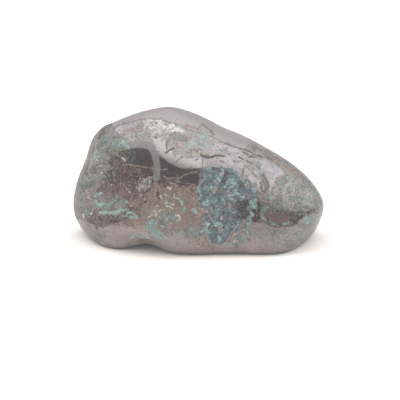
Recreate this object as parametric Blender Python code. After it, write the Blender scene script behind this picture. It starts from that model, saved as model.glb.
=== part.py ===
"""A tumbled and polished chalcocite specimen: one natural stone, 50 mm long.

The stone is a worn polytope. A tumbled stone keeps the flats that its rough
lump broke along, and the tumbling rounds the edges between them. So the form
starts from a list of flats around a core point, rounds where they meet, and
then takes the lumps, hollows, ledge, crust and pits that the real stone has.

Axes: +X along the stone, towards its low end. -Y is the polished face with
the blue-green crust. +Z is up. The origin is the middle of the base.
"""

import math

import bmesh
import bpy
import numpy as np

MM = 0.001

# How finely the stone is modelled.
GRID = 28  # squares along each edge of the cube that the net starts from
FRONT_PULL = 0.22  # how far the net crowds towards the polished front

# The form. Distances are in millimetres and angles in degrees.
CORE = (0.0, 0.5, 12.0)  # the point that every flat is measured from
EDGE_CRISPNESS = 16  # 2 would be a ball, and a very large number sharp edges

# Each flat: name, bearing (0 front, 90 right, 180 back, -90 left), height
# angle (90 straight up), and distance from the core.
FLATS = [
    ("long slope", 117, 60, 12.2),
    ("dull top band", 64, 63, 11.0),
    ("crown", -133, 66, 17.1),
    ("upper left", -106, 37, 23.8),
    ("left top", -96, 17, 25.1),
    ("left end", -85, -15, 28.0),
    ("left foot", -71, -42, 23.6),
    ("base", 0, -90, 12.7),
    ("right foot", 66, -45, 24.6),
    ("right end", 83, -22, 26.1),
    ("right tip", 95, 15, 27.2),
    ("right top", 103, 37, 17.9),
    ("right shoulder", 56, 44, 15.9),
    ("upper front", 22, 47, 8.8),
    ("upper left front", -14, 56, 12.9),
    ("front", 4, 16, 8.4),
    ("left front", -30, 16, 13.2),
    ("left side", -62, 14, 20.9),
    ("right front", 38, -17, 21.0),
    ("lower front", 4, -26, 13.9),
    ("left lower front", -28, -12, 15.7),
    ("back", 180, 6, 12.6),
    ("back left", -138, 8, 19.2),
    ("back right", 140, 4, 19.0),
    ("back under", 180, -40, 14.9),
    ("back upper", 178, 42, 14.8),
]

# Each swelling: name, middle (x, y, z), reach (x, y, z) and height out of the
# stone. A height below zero is a hollow.
SWELLINGS = [
    ("arch under the front edge", (-11.2, -8.0, 0.5), (4.5, 6.0, 3.0), -2.3),
    ("toe of the left foot", (-17.5, -7.5, 1.0), (4.0, 5.0, 4.0), 1.1),
    ("toe of the right foot", (13.5, -8.5, 1.0), (6.0, 4.0, 4.0), 1.0),
    ("hollow in the left end", (-24.0, -2.0, 16.1), (5.0, 7.0, 3.0), -1.2),
    ("hollow beside the rib", (-10.5, -5.0, 16.0), (3.2, 6.0, 4.5), -0.35),
    ("rib down the front", (-8.3, -6.0, 17.0), (1.2, 6.0, 4.0), 0.3),
    ("lump below the crown", (-6.0, -2.0, 24.5), (5.0, 4.0, 3.0), 0.3),
    ("hollow in the back", (6.0, 13.0, 14.0), (8.0, 6.0, 6.0), -0.8),
    ("lump on the back", (-11.0, 11.0, 10.0), (7.0, 6.0, 6.0), 0.6),
    ("dip in the long slope", (9.0, 6.0, 20.0), (5.0, 5.0, 4.0), -0.1),
]

# The front is laid out on a plan that leans back this far from upright. It is
# drawn as an eye that far from the middle sees it, so near parts spread out.
# A place on it is (way across, way up the plan), in millimetres.
PLAN_LEAN = 20
PLAN_MIDDLE = (0.4, 1.4, 7.9)
PLAN_EYE = 446.0

# The ledge where the polish stops and the dull top band begins, left to right.
LEDGE = [(-18.3, 22.4), (-17.1, 22.6), (-15.9, 23.2), (-13.7, 23.7), (-10.5, 24.1), (-8.0, 24.0),
         (-6.0, 23.4), (-3.7, 23.0), (-2.0, 22.0), (0.4, 21.4), (2.8, 20.7), (5.8, 19.3), (8.4, 18.4),
         (11.4, 17.3), (13.0, 16.6)]
LEDGE_DROP = 0.22  # how far the dull band lies below the polish
LEDGE_WIDTH = 0.9

# The blue-green crust that stands a little proud of the polished face.
CRUST_MIDDLE = (5.4, 6.6)
CRUST_REACH = (5.4, 7.6)
CRUST_RISE = 0.2
CRUST_SEED = 11
CRUST_LUMPS = 34
CRUST_LUMP_REACH = (0.7, 1.3)
CRUST_LUMP_RISE = (0.08, 0.22)

# Waviness that tumbling leaves on every side, and the larger pits.
WAVE_SEED = 7
WAVE_COUNT = 10
WAVE_LENGTH = (7.0, 15.0)
WAVE_HEIGHT = 0.045
PIT_SEED = 23
PIT_COUNT = 40
PIT_REACH = (0.7, 1.5)
PIT_DEPTH = (0.08, 0.22)

# The surface as it looks from a step away.
STONE_COLOR = (0.30, 0.27, 0.26, 1.0)
STONE_ROUGHNESS = 0.32
STONE_METALLIC = 0.55


def clear_scene():
    """Remove every object that the file opened with."""
    for thing in list(bpy.data.objects):
        bpy.data.objects.remove(thing, do_unlink=True)


def unit_vector(bearing, height):
    """The unit vector that points along a bearing and a height angle."""
    turn, rise = math.radians(bearing), math.radians(height)
    across = math.cos(rise)
    return np.array([across * math.sin(turn), -across * math.cos(turn), math.sin(rise)])


def cube_net():
    """A cube from -1 to 1 whose faces are each cut into GRID by GRID squares."""
    net = bmesh.new()
    bmesh.ops.create_cube(net, size=2.0)
    bmesh.ops.subdivide_edges(net, edges=net.edges[:], cuts=GRID - 1, use_grid_fill=True)
    return net


def directions(net):
    """One unit direction from the core for each corner of the net.

    The tangent evens out the squares, and the pull slides the net towards the
    front before each corner is drawn onto the unit ball.
    """
    corners = np.array([corner.co for corner in net.verts])
    spread = np.tan(corners * math.pi / 4)
    spread[:, 1] -= FRONT_PULL
    return spread / np.linalg.norm(spread, axis=1)[:, None]


def worn_polytope(ways):
    """Distance from the core to the worn flats along each way, in mm.

    A single flat at distance h with normal n is met at h / (n . way). Summing
    the inverse distances at a high power takes the nearest flat and rounds the
    places where two or more are about as near.
    """
    total = np.zeros(len(ways))
    for _name, bearing, height, distance in FLATS:
        facing = np.clip(ways @ unit_vector(bearing, height), 0.0, None)
        total += (facing / distance) ** EDGE_CRISPNESS
    return total ** (-1.0 / EDGE_CRISPNESS)


def swelling_height(points):
    """Sum of the named lumps and hollows: each is a soft bell about its middle."""
    height = np.zeros(len(points))
    for _name, middle, reach, rise in SWELLINGS:
        away = (points - np.array(middle)) / np.array(reach)
        height += rise * np.exp(-np.sum(away ** 2, axis=1))
    return height


def wave_height(points):
    """A gentle seeded waviness: a sum of sine waves that run every way."""
    dice = np.random.default_rng(WAVE_SEED)
    height = np.zeros(len(points))
    for _ in range(WAVE_COUNT):
        way = dice.normal(size=3)
        way /= np.linalg.norm(way)
        length = dice.uniform(*WAVE_LENGTH)
        phase = dice.uniform(0.0, 2.0 * math.pi)
        height += WAVE_HEIGHT * np.sin(2.0 * math.pi * (points @ way) / length + phase)
    return height


def plan_place(points):
    """Where each point falls on the front's leaning plan: (way across, way up).

    Both ways are measured from the middle and grow with the nearness to the eye.
    """
    lean = math.radians(PLAN_LEAN)
    plan_up = np.array([0.0, math.sin(lean), math.cos(lean)])
    to_eye = np.array([0.0, -math.cos(lean), math.sin(lean)])
    middle = np.array(PLAN_MIDDLE)
    grow = PLAN_EYE / (PLAN_EYE - (points - middle) @ to_eye)
    across = middle[0] + grow * (points - middle)[:, 0]
    return across, middle @ plan_up + grow * ((points - middle) @ plan_up)


def soft_step(value):
    """0 below zero, 1 above one, and a smooth S between them."""
    value = np.clip(value, 0.0, 1.0)
    return value * value * (3.0 - 2.0 * value)


def ledge_height(points):
    """The dull top band lies LEDGE_DROP below the polish, above the ledge line.

    The drop fades out past the ends of the line and over the far side.
    """
    across, up = plan_place(points)
    line_x, line_up = np.array(LEDGE).T
    above = up - np.interp(across, line_x, line_up)
    band = soft_step(above / LEDGE_WIDTH + 0.5)
    ends = soft_step((across - line_x[0]) / 2.0) * soft_step((line_x[-1] - across) / 2.0 + 1.0)
    near_side = soft_step((9.0 - points[:, 1]) / 4.0)
    return -LEDGE_DROP * band * ends * near_side


def crust_height(points):
    """The crust: a raised oval patch on the front, with seeded rounded lumps on it."""
    across, up = plan_place(points)
    from_middle = (across - CRUST_MIDDLE[0], up - CRUST_MIDDLE[1])
    oval = np.hypot(from_middle[0] / CRUST_REACH[0], from_middle[1] / CRUST_REACH[1])
    on_front = soft_step(-points[:, 1] / 3.0)
    height = CRUST_RISE * soft_step((1.15 - oval) / 0.3)
    dice = np.random.default_rng(CRUST_SEED)
    for _ in range(CRUST_LUMPS):
        turn, out = dice.uniform(0.0, 2.0 * math.pi), math.sqrt(dice.uniform(0.0, 0.9))
        lump_x = out * CRUST_REACH[0] * math.cos(turn)
        lump_up = out * CRUST_REACH[1] * math.sin(turn)
        reach, rise = dice.uniform(*CRUST_LUMP_REACH), dice.uniform(*CRUST_LUMP_RISE)
        away = np.hypot(from_middle[0] - lump_x, from_middle[1] - lump_up) / reach
        height += rise * np.exp(-away ** 2)
    return height * on_front


def pit_height(ways, points):
    """Seeded shallow pits, scattered by direction over all but the polished front."""
    dice = np.random.default_rng(PIT_SEED)
    height = np.zeros(len(points))
    for _ in range(PIT_COUNT):
        way = dice.normal(size=3)
        way /= np.linalg.norm(way)
        middle = points[np.argmax(ways @ way)]
        reach = dice.uniform(*PIT_REACH)
        depth = dice.uniform(*PIT_DEPTH)
        away = np.linalg.norm(points - middle, axis=1) / reach
        height -= depth * np.exp(-away ** 2)
    return height * soft_step((points[:, 1] + 4.0) / 4.0)


def stone_points(ways):
    """The stone's surface in mm: the worn flats, its relief and its level base."""
    radius = worn_polytope(ways)
    points = ways * radius[:, None] + np.array(CORE)
    relief = (swelling_height(points) + wave_height(points) + ledge_height(points)
              + crust_height(points) + pit_height(ways, points))
    points = ways * (radius + relief)[:, None] + np.array(CORE)
    points[:, 2] = np.clip(points[:, 2], 0.0, None)
    return points


def centred(points):
    """The points moved level so that the box around them is centred on X and Y."""
    middle = (points.min(axis=0) + points.max(axis=0)) / 2.0
    return points - np.array([middle[0], middle[1], 0.0])


def chalcocite_material():
    """Polished copper sulphide: dark grey, half metallic, with a soft shine."""
    material = bpy.data.materials.new("polished_chalcocite")
    material.use_nodes = True
    shader = material.node_tree.nodes["Principled BSDF"]
    shader.inputs["Base Color"].default_value = STONE_COLOR
    shader.inputs["Roughness"].default_value = STONE_ROUGHNESS
    shader.inputs["Metallic"].default_value = STONE_METALLIC
    return material


def make_stone():
    """Build the stone as one closed mesh and link it to the scene."""
    net = cube_net()
    for corner, place in zip(net.verts, centred(stone_points(directions(net)))):
        corner.co = place * MM
    bmesh.ops.recalc_face_normals(net, faces=net.faces[:])
    mesh = bpy.data.meshes.new("stone")
    net.to_mesh(mesh)
    net.free()
    mesh.shade_smooth()
    mesh.materials.append(chalcocite_material())
    stone = bpy.data.objects.new("stone", mesh)
    bpy.context.collection.objects.link(stone)
    return stone


clear_scene()
make_stone()
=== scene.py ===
# %% [markdown]
# # A polished chalcocite specimen
#
# Chalcocite is copper sulphide: a heavy, dark grey, metallic ore. Rough lumps
# of it are tumbled with grit for weeks, which leaves a pebble with soft edges,
# a few broad polished flats and, here and there, a patch of the old rough skin.
# This one is 50 mm long. Its front carries a lumpy blue-green crust of copper
# silicate, brown tarnish, hair veins and flecks of green malachite.
#
# The lesson takes five steps: the pebble's form, the map of its minerals, the
# fine relief, the finish that turns the map into stone, and the studio.

# %% [markdown]
# ## The packed model
#
# The stone was first built as a solid in a CAD program, and it comes in here as
# one node, called stone. Its faces are coarser than a polished stone's, so the
# lesson draws a finer skin of the same form in its place. The solid stays in the
# scene, hidden.

# %% Load the packed model
import itertools
import math

import bpy
import numpy as np
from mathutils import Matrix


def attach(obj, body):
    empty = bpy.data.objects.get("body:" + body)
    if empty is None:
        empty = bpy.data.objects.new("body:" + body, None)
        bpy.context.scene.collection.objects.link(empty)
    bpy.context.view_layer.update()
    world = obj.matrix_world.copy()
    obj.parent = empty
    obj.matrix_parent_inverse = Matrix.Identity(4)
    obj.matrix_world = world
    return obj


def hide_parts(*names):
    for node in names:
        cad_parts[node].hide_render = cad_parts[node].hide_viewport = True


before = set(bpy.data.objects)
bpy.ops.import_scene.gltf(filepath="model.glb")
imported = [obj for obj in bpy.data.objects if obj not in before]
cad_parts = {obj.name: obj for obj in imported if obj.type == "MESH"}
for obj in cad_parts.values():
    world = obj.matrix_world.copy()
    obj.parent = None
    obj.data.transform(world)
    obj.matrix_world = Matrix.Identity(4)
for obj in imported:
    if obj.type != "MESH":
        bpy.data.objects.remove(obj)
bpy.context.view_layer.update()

MM = 0.001  # the numbers below are millimetres, and Blender's are metres

# %% [markdown]
# ## The form
#
# A tumbled stone is a worn polytope. The lump broke along flats, and tumbling
# rounded the places where the flats meet. We could sculpt it, or bevel a block,
# but a formula keeps every flat adjustable. Each flat has a bearing, a height
# angle and a distance from a core point. The surface lies where the flats,
# blended by a high power, balance.

# %% The flats of the stone
CORE = (0.0, 0.5, 12.0)  # the point that every flat is measured from
EDGE_CRISPNESS = 16  # 2 would be a ball, and a very large number sharp edges

# name, bearing (0 front, 90 right, 180 back), height angle, distance from the core
FLATS = [
    ("long slope", 117, 60, 12.2),
    ("dull top band", 64, 63, 11.0),
    ("crown", -133, 66, 17.1),
    ("upper left", -106, 37, 23.8),
    ("left top", -96, 17, 25.1),
    ("left end", -85, -15, 28.0),
    ("left foot", -71, -42, 23.6),
    ("base", 0, -90, 12.7),
    ("right foot", 66, -45, 24.6),
    ("right end", 83, -22, 26.1),
    ("right tip", 95, 15, 27.2),
    ("right top", 103, 37, 17.9),
    ("right shoulder", 56, 44, 15.9),
    ("upper front", 22, 47, 8.8),
    ("upper left front", -14, 56, 12.9),
    ("front", 4, 16, 8.4),
    ("left front", -30, 16, 13.2),
    ("left side", -62, 14, 20.9),
    ("right front", 38, -17, 21.0),
    ("lower front", 4, -26, 13.9),
    ("left lower front", -28, -12, 15.7),
    ("back", 180, 6, 12.6),
    ("back left", -138, 8, 19.2),
    ("back right", 140, 4, 19.0),
    ("back under", 180, -40, 14.9),
    ("back upper", 178, 42, 14.8),
]


def unit_vector(bearing, height):
    """The unit vector along a bearing and a height angle, in degrees."""
    turn, rise = math.radians(bearing), math.radians(height)
    across = math.cos(rise)
    return np.array([across * math.sin(turn), -across * math.cos(turn), math.sin(rise)])


def worn_polytope(ways):
    """Distance to the worn flats: the sum of (facing / distance) ** p, to the power -1 / p."""
    total = np.zeros(len(ways))
    for _name, bearing, height, distance in FLATS:
        facing = np.clip(ways @ unit_vector(bearing, height), 0.0, None)
        total += (facing / distance) ** EDGE_CRISPNESS
    return total ** (-1.0 / EDGE_CRISPNESS)


print("flats:", len(FLATS))

# %% [markdown]
# ## The net
#
# A ball of longitude and latitude lines would crowd its points at two poles,
# and the shine would show it. Instead we lay square grids on the six sides of a
# box with the stone's proportions and draw each grid point onto the stone along
# its line from the core. The squares come out nearly even, about a quarter of a
# millimetre, with no poles. Points that two sides share get one number, so the
# skin is closed.

# %% A box net, drawn onto the stone
NET_COUNTS = (192, 92, 104)  # squares along X, Y and Z
NET_HALVES = (2.1, 1.0, 1.12)  # proportions of the box that the net starts on
FRONT_PULL = 0.22  # how far the net crowds towards the polished front


def side_quads(axis, far):
    """Corner numbers, as (i, j, k) steps, of every square on one side of the box."""
    first, second = (axis + 1) % 3, (axis + 2) % 3
    steps = np.zeros((NET_COUNTS[first], NET_COUNTS[second], 4, 3), int)
    along, up = np.meshgrid(np.arange(NET_COUNTS[first]), np.arange(NET_COUNTS[second]), indexing="ij")
    round_trip = [(0, 0), (1, 0), (1, 1), (0, 1)]
    for corner, (a, b) in enumerate(round_trip if far else round_trip[::-1]):
        steps[..., corner, first] = along + a
        steps[..., corner, second] = up + b
    steps[..., axis] = NET_COUNTS[axis] if far else 0
    return steps.reshape(-1, 4, 3)


def box_net():
    """Unit directions to each grid point of the box, and the quads that join them."""
    quads = np.concatenate([side_quads(axis, far) for axis in range(3) for far in (False, True)])
    sizes = np.array(NET_COUNTS) + 1
    keys = (quads[..., 0] * sizes[1] + quads[..., 1]) * sizes[2] + quads[..., 2]
    used, numbered = np.unique(keys, return_inverse=True)
    steps = np.stack(np.unravel_index(used, sizes), axis=1)
    spots = (2.0 * steps / np.array(NET_COUNTS) - 1.0) * np.array(NET_HALVES)
    spots[:, 1] -= FRONT_PULL
    ways = spots / np.linalg.norm(spots, axis=1)[:, None]
    return ways, numbered.reshape(-1, 4)


ways, quads = box_net()
print("net:", len(ways), "points,", 2 * len(quads), "triangles")

# %% [markdown]
# ## Noise and a soft step
#
# A stone is random, but it has to come out the same on every run. Blender has
# noise textures for colour, and we also need random heights, here in Python.
# Lattice noise is the simplest kind: random numbers sit on the corners of a
# cell grid, and S-curves blend them. A soft step fades one thing into another.

# %% Noise and a soft step
LATTICE = 32  # random numbers along each side of the grid, which then repeats


def lattice_noise(points, size, seed):
    """Smooth noise from -1 to 1: random corner values of size-mm cells, blended by S-curves."""
    table = np.random.default_rng(seed).uniform(-1.0, 1.0, (LATTICE, LATTICE, LATTICE))
    cells = points / size
    low = np.floor(cells).astype(int)
    part = cells - low
    part = part * part * (3.0 - 2.0 * part)
    total = np.zeros(len(points))
    for corner in itertools.product((0, 1), repeat=3):
        weight = np.prod(np.where(corner, part, 1.0 - part), axis=1)
        place = (low + corner) % LATTICE
        total += weight * table[place[:, 0], place[:, 1], place[:, 2]]
    return total


def rough_noise(points, size, seed, layers=3):
    """Several lattice noises, each half the size and half the height of the last."""
    return sum(lattice_noise(points, size / 2 ** n, seed + n) / 2 ** n for n in range(layers))


def soft_step(value):
    """0 below zero, 1 above one, and a smooth S between them: 3 v ** 2 - 2 v ** 3."""
    value = np.clip(value, 0.0, 1.0)
    return value * value * (3.0 - 2.0 * value)


print("a soft step a quarter of the way up:", soft_step(0.25))

# %% [markdown]
# ## Broad relief
#
# The wear isn't perfect. There is an arch under the front edge, a hollow in the
# left end, a faint rib down the front, and a gentle waviness everywhere. We
# could push these in with a sculpting brush, but a list can be read and changed.
# Each swelling is a soft bell, the waves are a few sine waves that run every
# way, and the pits are small bells at random places that sink in.

# %% Swellings, waves and pits
# name, middle (x, y, z), reach (x, y, z), height out of the stone
SWELLINGS = [
    ("arch under the front edge", (-11.2, -8.0, 0.5), (4.5, 6.0, 3.0), -2.3),
    ("toe of the left foot", (-17.5, -7.5, 1.0), (4.0, 5.0, 4.0), 1.1),
    ("toe of the right foot", (13.5, -8.5, 1.0), (6.0, 4.0, 4.0), 1.0),
    ("hollow in the left end", (-24.0, -2.0, 16.1), (5.0, 7.0, 3.0), -1.2),
    ("hollow beside the rib", (-10.5, -5.0, 16.0), (3.2, 6.0, 4.5), -0.35),
    ("rib down the front", (-8.3, -6.0, 17.0), (1.2, 6.0, 4.0), 0.3),
    ("lump below the crown", (-6.0, -2.0, 24.5), (5.0, 4.0, 3.0), 0.3),
    ("hollow in the back", (6.0, 13.0, 14.0), (8.0, 6.0, 6.0), -0.8),
    ("lump on the back", (-11.0, 11.0, 10.0), (7.0, 6.0, 6.0), 0.6),
    ("dip in the long slope", (9.0, 6.0, 20.0), (5.0, 5.0, 4.0), -0.1),
]
WAVE_SEED = 7
WAVE_COUNT = 10
WAVE_LENGTH = (7.0, 15.0)  # the shortest and the longest
WAVE_HEIGHT = 0.045
PIT_SEED = 23
PIT_COUNT = 40
PIT_REACH = (0.7, 1.5)  # the narrowest and the widest
PIT_DEPTH = (0.08, 0.22)
PITS_BEHIND = -4.0  # the Y behind which the pits begin, so that the front stays polished
PITS_FADE = 4.0


def swelling_height(points):
    """Sum of soft bells: rise * exp(-distance ** 2), the distance counted in reaches."""
    height = np.zeros(len(points))
    for _name, middle, reach, rise in SWELLINGS:
        away = (points - np.array(middle)) / np.array(reach)
        height += rise * np.exp(-np.sum(away ** 2, axis=1))
    return height


def random_way(dice):
    """A random unit direction."""
    way = dice.normal(size=3)
    return way / np.linalg.norm(way)


def wave_height(points):
    """Sum of sine waves of random way, length and phase: height * sin(2 pi along / length + phase)."""
    dice = np.random.default_rng(WAVE_SEED)
    height = np.zeros(len(points))
    for _ in range(WAVE_COUNT):
        way = random_way(dice)
        length = dice.uniform(*WAVE_LENGTH)
        phase = dice.uniform(0.0, 2.0 * math.pi)
        height += WAVE_HEIGHT * np.sin(2.0 * math.pi * (points @ way) / length + phase)
    return height


def pit_height(ways, points):
    """Seeded bells that sink into the stone, everywhere but on the polished front."""
    dice = np.random.default_rng(PIT_SEED)
    height = np.zeros(len(points))
    for _ in range(PIT_COUNT):
        middle = points[np.argmax(ways @ random_way(dice))]
        reach = dice.uniform(*PIT_REACH)
        depth = dice.uniform(*PIT_DEPTH)
        away = np.linalg.norm(points - middle, axis=1) / reach
        height -= depth * np.exp(-away ** 2)
    return height * soft_step((points[:, 1] - PITS_BEHIND) / PITS_FADE)


radius = worn_polytope(ways)
form = ways * radius[:, None] + np.array(CORE)  # the pebble before its fine relief
broad = swelling_height(form) + wave_height(form) + pit_height(ways, form)
print("broad relief, mm:", round(broad.min(), 2), "to", round(broad.max(), 2))

# %% [markdown]
# ## The drawing board
#
# The patches and veins on the front are drawn. A painted image would
# have to be wrapped round the stone, and would stretch or tear somewhere. So we
# draw on a board instead: a plan that stands in front of the stone and leans
# back 20 degrees, square to the polished face. Each point of the stone is seen
# on it, in millimetres across and up, from an eye half a metre away.

# %% The leaning plan
PLAN_LEAN = 20  # degrees
PLAN_MIDDLE = (0.4, 1.4, 7.9)  # where the middle of the plan's view lies in the stone
PLAN_EYE = 446.0  # from the middle to the eye


def plan_place(points):
    """Where each point falls on the leaning plan: one row of (across, up) each.

    Both are measured from the middle, times eye distance / (eye distance - nearness).
    """
    lean = math.radians(PLAN_LEAN)
    plan_up = np.array([0.0, math.sin(lean), math.cos(lean)])
    to_eye = np.array([0.0, -math.cos(lean), math.sin(lean)])
    middle = np.array(PLAN_MIDDLE)
    grow = PLAN_EYE / (PLAN_EYE - (points - middle) @ to_eye)
    across = middle[0] + grow * (points - middle)[:, 0]
    return np.stack([across, middle @ plan_up + grow * ((points - middle) @ plan_up)], axis=1)


place = plan_place(form)
print("the stone on the plan, mm:", np.round(place.min(axis=0), 1), "to", np.round(place.max(axis=0), 1))

# %% [markdown]
# ## Strokes, outlines and ovals
#
# Every drawn mark is one of three shapes: a stroke, a closed outline or an
# oval. We could paint them as pixels, but pixels go soft when one looks closely.
# Instead we work out how deep inside the shape each point lies, in millimetres.
# A depth keeps a crisp edge, and noise can tear that edge like a real one.

# %% Strokes, outlines and ovals
def stroke_distance(place, stroke):
    """Distance to a run of straight pieces, or to one point: to the nearest clamped foot on any piece."""
    nearest = np.full(len(place), np.inf)
    ends = stroke[1:] if len(stroke) > 1 else stroke
    for start, end in zip(stroke, ends):
        start, run = np.array(start), np.subtract(end, start)
        share = np.clip((place - start) @ run / max(run @ run, 1e-9), 0.0, 1.0)
        nearest = np.minimum(nearest, np.linalg.norm(place - start - share[:, None] * run, axis=1))
    return nearest


def outline_depth(place, corners):
    """How deep inside a closed outline a place lies. Below zero it is outside.

    The depth is the distance to the nearest side, and the sign comes from how
    often a level line from the place crosses the sides.
    """
    closed = list(corners) + [corners[0]]
    inside = np.zeros(len(place), bool)
    for (x0, y0), (x1, y1) in zip(closed[:-1], closed[1:]):
        if y0 == y1:
            continue
        spans = (place[:, 1] > min(y0, y1)) & (place[:, 1] <= max(y0, y1))
        crossing = x0 + (place[:, 1] - y0) * (x1 - x0) / (y1 - y0)
        inside ^= spans & (place[:, 0] < crossing)
    return np.where(inside, 1.0, -1.0) * stroke_distance(place, closed)


def oval_depth(place, middle, reach, tilt=0.0):
    """How deep inside an oval a place lies: (1 - distance in half-widths) * the smaller half-width.

    The tilt is in degrees, from level.
    """
    turn = math.radians(tilt)
    across, up = (place - np.array(middle)).T
    along = across * math.cos(turn) + up * math.sin(turn)
    beside = -across * math.sin(turn) + up * math.cos(turn)
    return (1.0 - np.hypot(along / reach[0], beside / reach[1])) * min(reach)


print("depth in the middle of an oval 4 mm wide:", oval_depth(np.zeros((1, 2)), (0.0, 0.0), (2.0, 2.0))[0])

# %% [markdown]
# ## Which way each point faces
#
# The drawings on the plan must not print through to the far side. So we find
# how squarely each point faces the plan: 1 is square on, 0 is the rim, and
# below 0 the point is on the far side. The direction a surface faces is the
# cross product of the diagonals of its quads, averaged at each point.

# %% Facing the plan
NEAR_LIMIT = -0.05  # the facing where the drawings begin
NEAR_FADE = 0.2  # and how much more it takes until they hold in full
RIPPLE_SIZE = 1.6
RIPPLE_SEEDS = (40, 50)  # across and up
RIPPLE = 0.22  # how far the ripple moves the edges of the patches


def point_normals(points, quads):
    """Average of the cross products of the diagonals of the quads at each point."""
    across = points[quads[:, 2]] - points[quads[:, 0]]
    up = points[quads[:, 3]] - points[quads[:, 1]]
    normals = np.zeros_like(points)
    for corner in range(4):
        np.add.at(normals, quads[:, corner], np.cross(across, up))
    return normals / np.linalg.norm(normals, axis=1)[:, None]


facing = point_normals(form, quads) @ unit_vector(0, PLAN_LEAN)
near_side = soft_step((facing - NEAR_LIMIT) / NEAR_FADE)  # 1 where the plan's drawings hold
wobble = np.stack([rough_noise(form, RIPPLE_SIZE, seed) for seed in RIPPLE_SEEDS], axis=1)
ragged = place + RIPPLE * wobble  # the plan seen through rippled glass: torn edges
print("points that face the plan:", int((facing > 0).sum()))

# %% [markdown]
# ## The map of minerals: ledge and crust
#
# Each mineral gets a field: a number at every point, in millimetres, that is
# above zero inside its patch and below zero outside. The finish later turns a
# field into a crisp, grainy edge. The first two drawings are the ledge, a thin
# dark step where the polish ends under the dull top band, and the outline of
# the blue-green crust, which fills an old hollow in the ore. An outline has
# only the points that its shape needs, because the ripple adds the raggedness.

# %% The ledge and the crust, in mm across and up the plan
LEDGE = [(-18.3, 22.4), (-17.1, 22.6), (-15.9, 23.2), (-13.7, 23.7), (-10.5, 24.1), (-8.0, 24.0),
    (-6.0, 23.4), (-3.7, 23.0), (-2.0, 22.0), (0.4, 21.4), (2.8, 20.7), (5.8, 19.3), (8.4, 18.4),
    (11.4, 17.3), (13.0, 16.6)]
CRUST = [(1.6, 14.3), (0.8, 13.7), (0.4, 13.1), (0.2, 11.9), (-0.1, 10.7), (-0.3, 9.7), (-0.2, 8.7),
    (0.2, 7.9), (0.6, 7.1), (1.2, 6.5), (2.2, 6.1), (2.6, 5.3), (2.0, 4.8), (1.1, 4.7), (0.8, 3.9),
    (0.9, 3.1), (1.4, 2.3), (1.7, 1.5), (2.2, 1.0), (2.4, 0.1), (2.7, -0.7), (3.6, -0.9), (4.8, -0.7),
    (5.5, -0.2), (6.0, 0.7), (6.8, 1.7), (7.8, 2.8), (8.4, 3.4), (8.8, 4.0), (9.6, 4.1), (10.3, 4.9),
    (10.6, 5.9), (11.2, 6.2), (11.8, 6.5), (11.7, 7.9), (12.0, 8.9), (11.9, 9.7), (11.2, 10.3),
    (10.8, 11.1), (10.4, 11.8), (9.9, 12.1), (9.1, 11.8), (8.6, 12.5), (8.4, 13.2), (7.7, 13.9),
    (6.4, 14.2), (4.8, 14.4), (3.0, 14.5)]
print("crust outline:", len(CRUST), "corners")

# %% [markdown]
# ## The map: mirror patches of painted dark reflection
#
# Where the ore is bare and flat it shines like dark glass. Two such patches lie
# on the upper front, and their dark colour is a painted reflection of the dim
# front of the room. A grey rim runs over the left one and down between the two,
# along a faint rib in the front: partly matte ore, partly a painted reflection
# of light along the rib. The patches are outlines, and the rim is a stroke,
# because its width hardly changes.

# %% The mirror-dark patches and their rim
LEFT_MIRROR = [(-14.2, 17.8), (-13.5, 18.1), (-12.2, 18.4), (-11.2, 18.5), (-10.3, 18.3), (-9.8, 17.7),
    (-9.5, 16.5), (-9.3, 15.5), (-9.2, 14.3), (-10.2, 13.7), (-11.6, 14.1), (-12.9, 14.8),
    (-13.9, 15.5), (-14.3, 16.7)]
MIDDLE_MIRROR = [(-8.2, 17.0), (-7.0, 16.3), (-6.0, 15.5), (-4.9, 14.9), (-3.9, 14.4), (-2.7, 14.1),
    (-1.5, 14.2), (0.8, 14.3), (0.4, 11.9), (-0.2, 11.1), (-2.0, 11.3), (-4.4, 11.9), (-7.5, 12.9)]
RIM_AND_REFLECTION = [(-17.1, 18.8), (-15.9, 18.3), (-14.5, 18.6), (-12.9, 19.0), (-10.8, 19.0), (-9.5, 18.6),
    (-8.8, 17.5), (-8.4, 15.9), (-8.2, 14.3), (-8.4, 12.3)]
print("rim:", len(RIM_AND_REFLECTION), "points")

# %% [markdown]
# ## The map of minerals: tarnish, painted dark bands and window
#
# Copper ore tarnishes brown where it is porous. The tarnish covers the lower
# front in one large patch. Near its two ends lies a darker, smoother band of
# painted shade: on the right a dark reflection of the dim room, on the left the
# shade of a shallow recess. In the right band a small window of bare brown ore
# shows.

# %% Tarnish, the two dark bands and the window
TARNISH = [(-17.5, 15.9), (-16.9, 16.6), (-14.5, 17.8), (-9.4, 17.8), (-8.0, 16.3), (-6.4, 14.1),
    (-3.6, 11.5), (0.2, 11.1), (0.2, 8.7), (1.0, 4.3), (1.4, 2.3), (0.4, 0.9), (-1.6, 1.5), (-4.4, 2.1),
    (-6.8, 2.3), (-9.2, 2.7), (-12.0, 2.9), (-14.9, 3.0), (-18.9, 2.7), (-22.1, 3.3), (-22.9, 4.7),
    (-21.1, 6.3), (-20.9, 8.1), (-20.3, 9.5), (-19.9, 11.1), (-19.1, 12.5), (-18.1, 13.7),
    (-17.3, 14.7)]
LEFT_SHADE_BAND = [(-22.8, 4.6), (-21.7, 5.1), (-19.7, 4.8), (-16.7, 4.8), (-14.7, 4.9), (-15.1, 3.8),
    (-16.7, 3.3), (-19.4, 3.0), (-21.7, 3.2), (-22.6, 3.9)]
RIGHT_REFLECTION_BAND = [(10.4, 6.1), (11.7, 6.3), (11.8, 7.6), (13.0, 7.3), (14.3, 7.0), (15.1, 6.5), (16.7, 6.0),
    (18.5, 5.6), (21.1, 5.6), (22.3, 5.7), (23.5, 6.2), (23.7, 5.5), (22.3, 5.0), (21.1, 4.6),
    (20.1, 3.6), (19.1, 2.7), (17.7, 2.6), (14.9, 2.6), (13.7, 3.1), (12.7, 3.5), (10.6, 3.6)]
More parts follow.
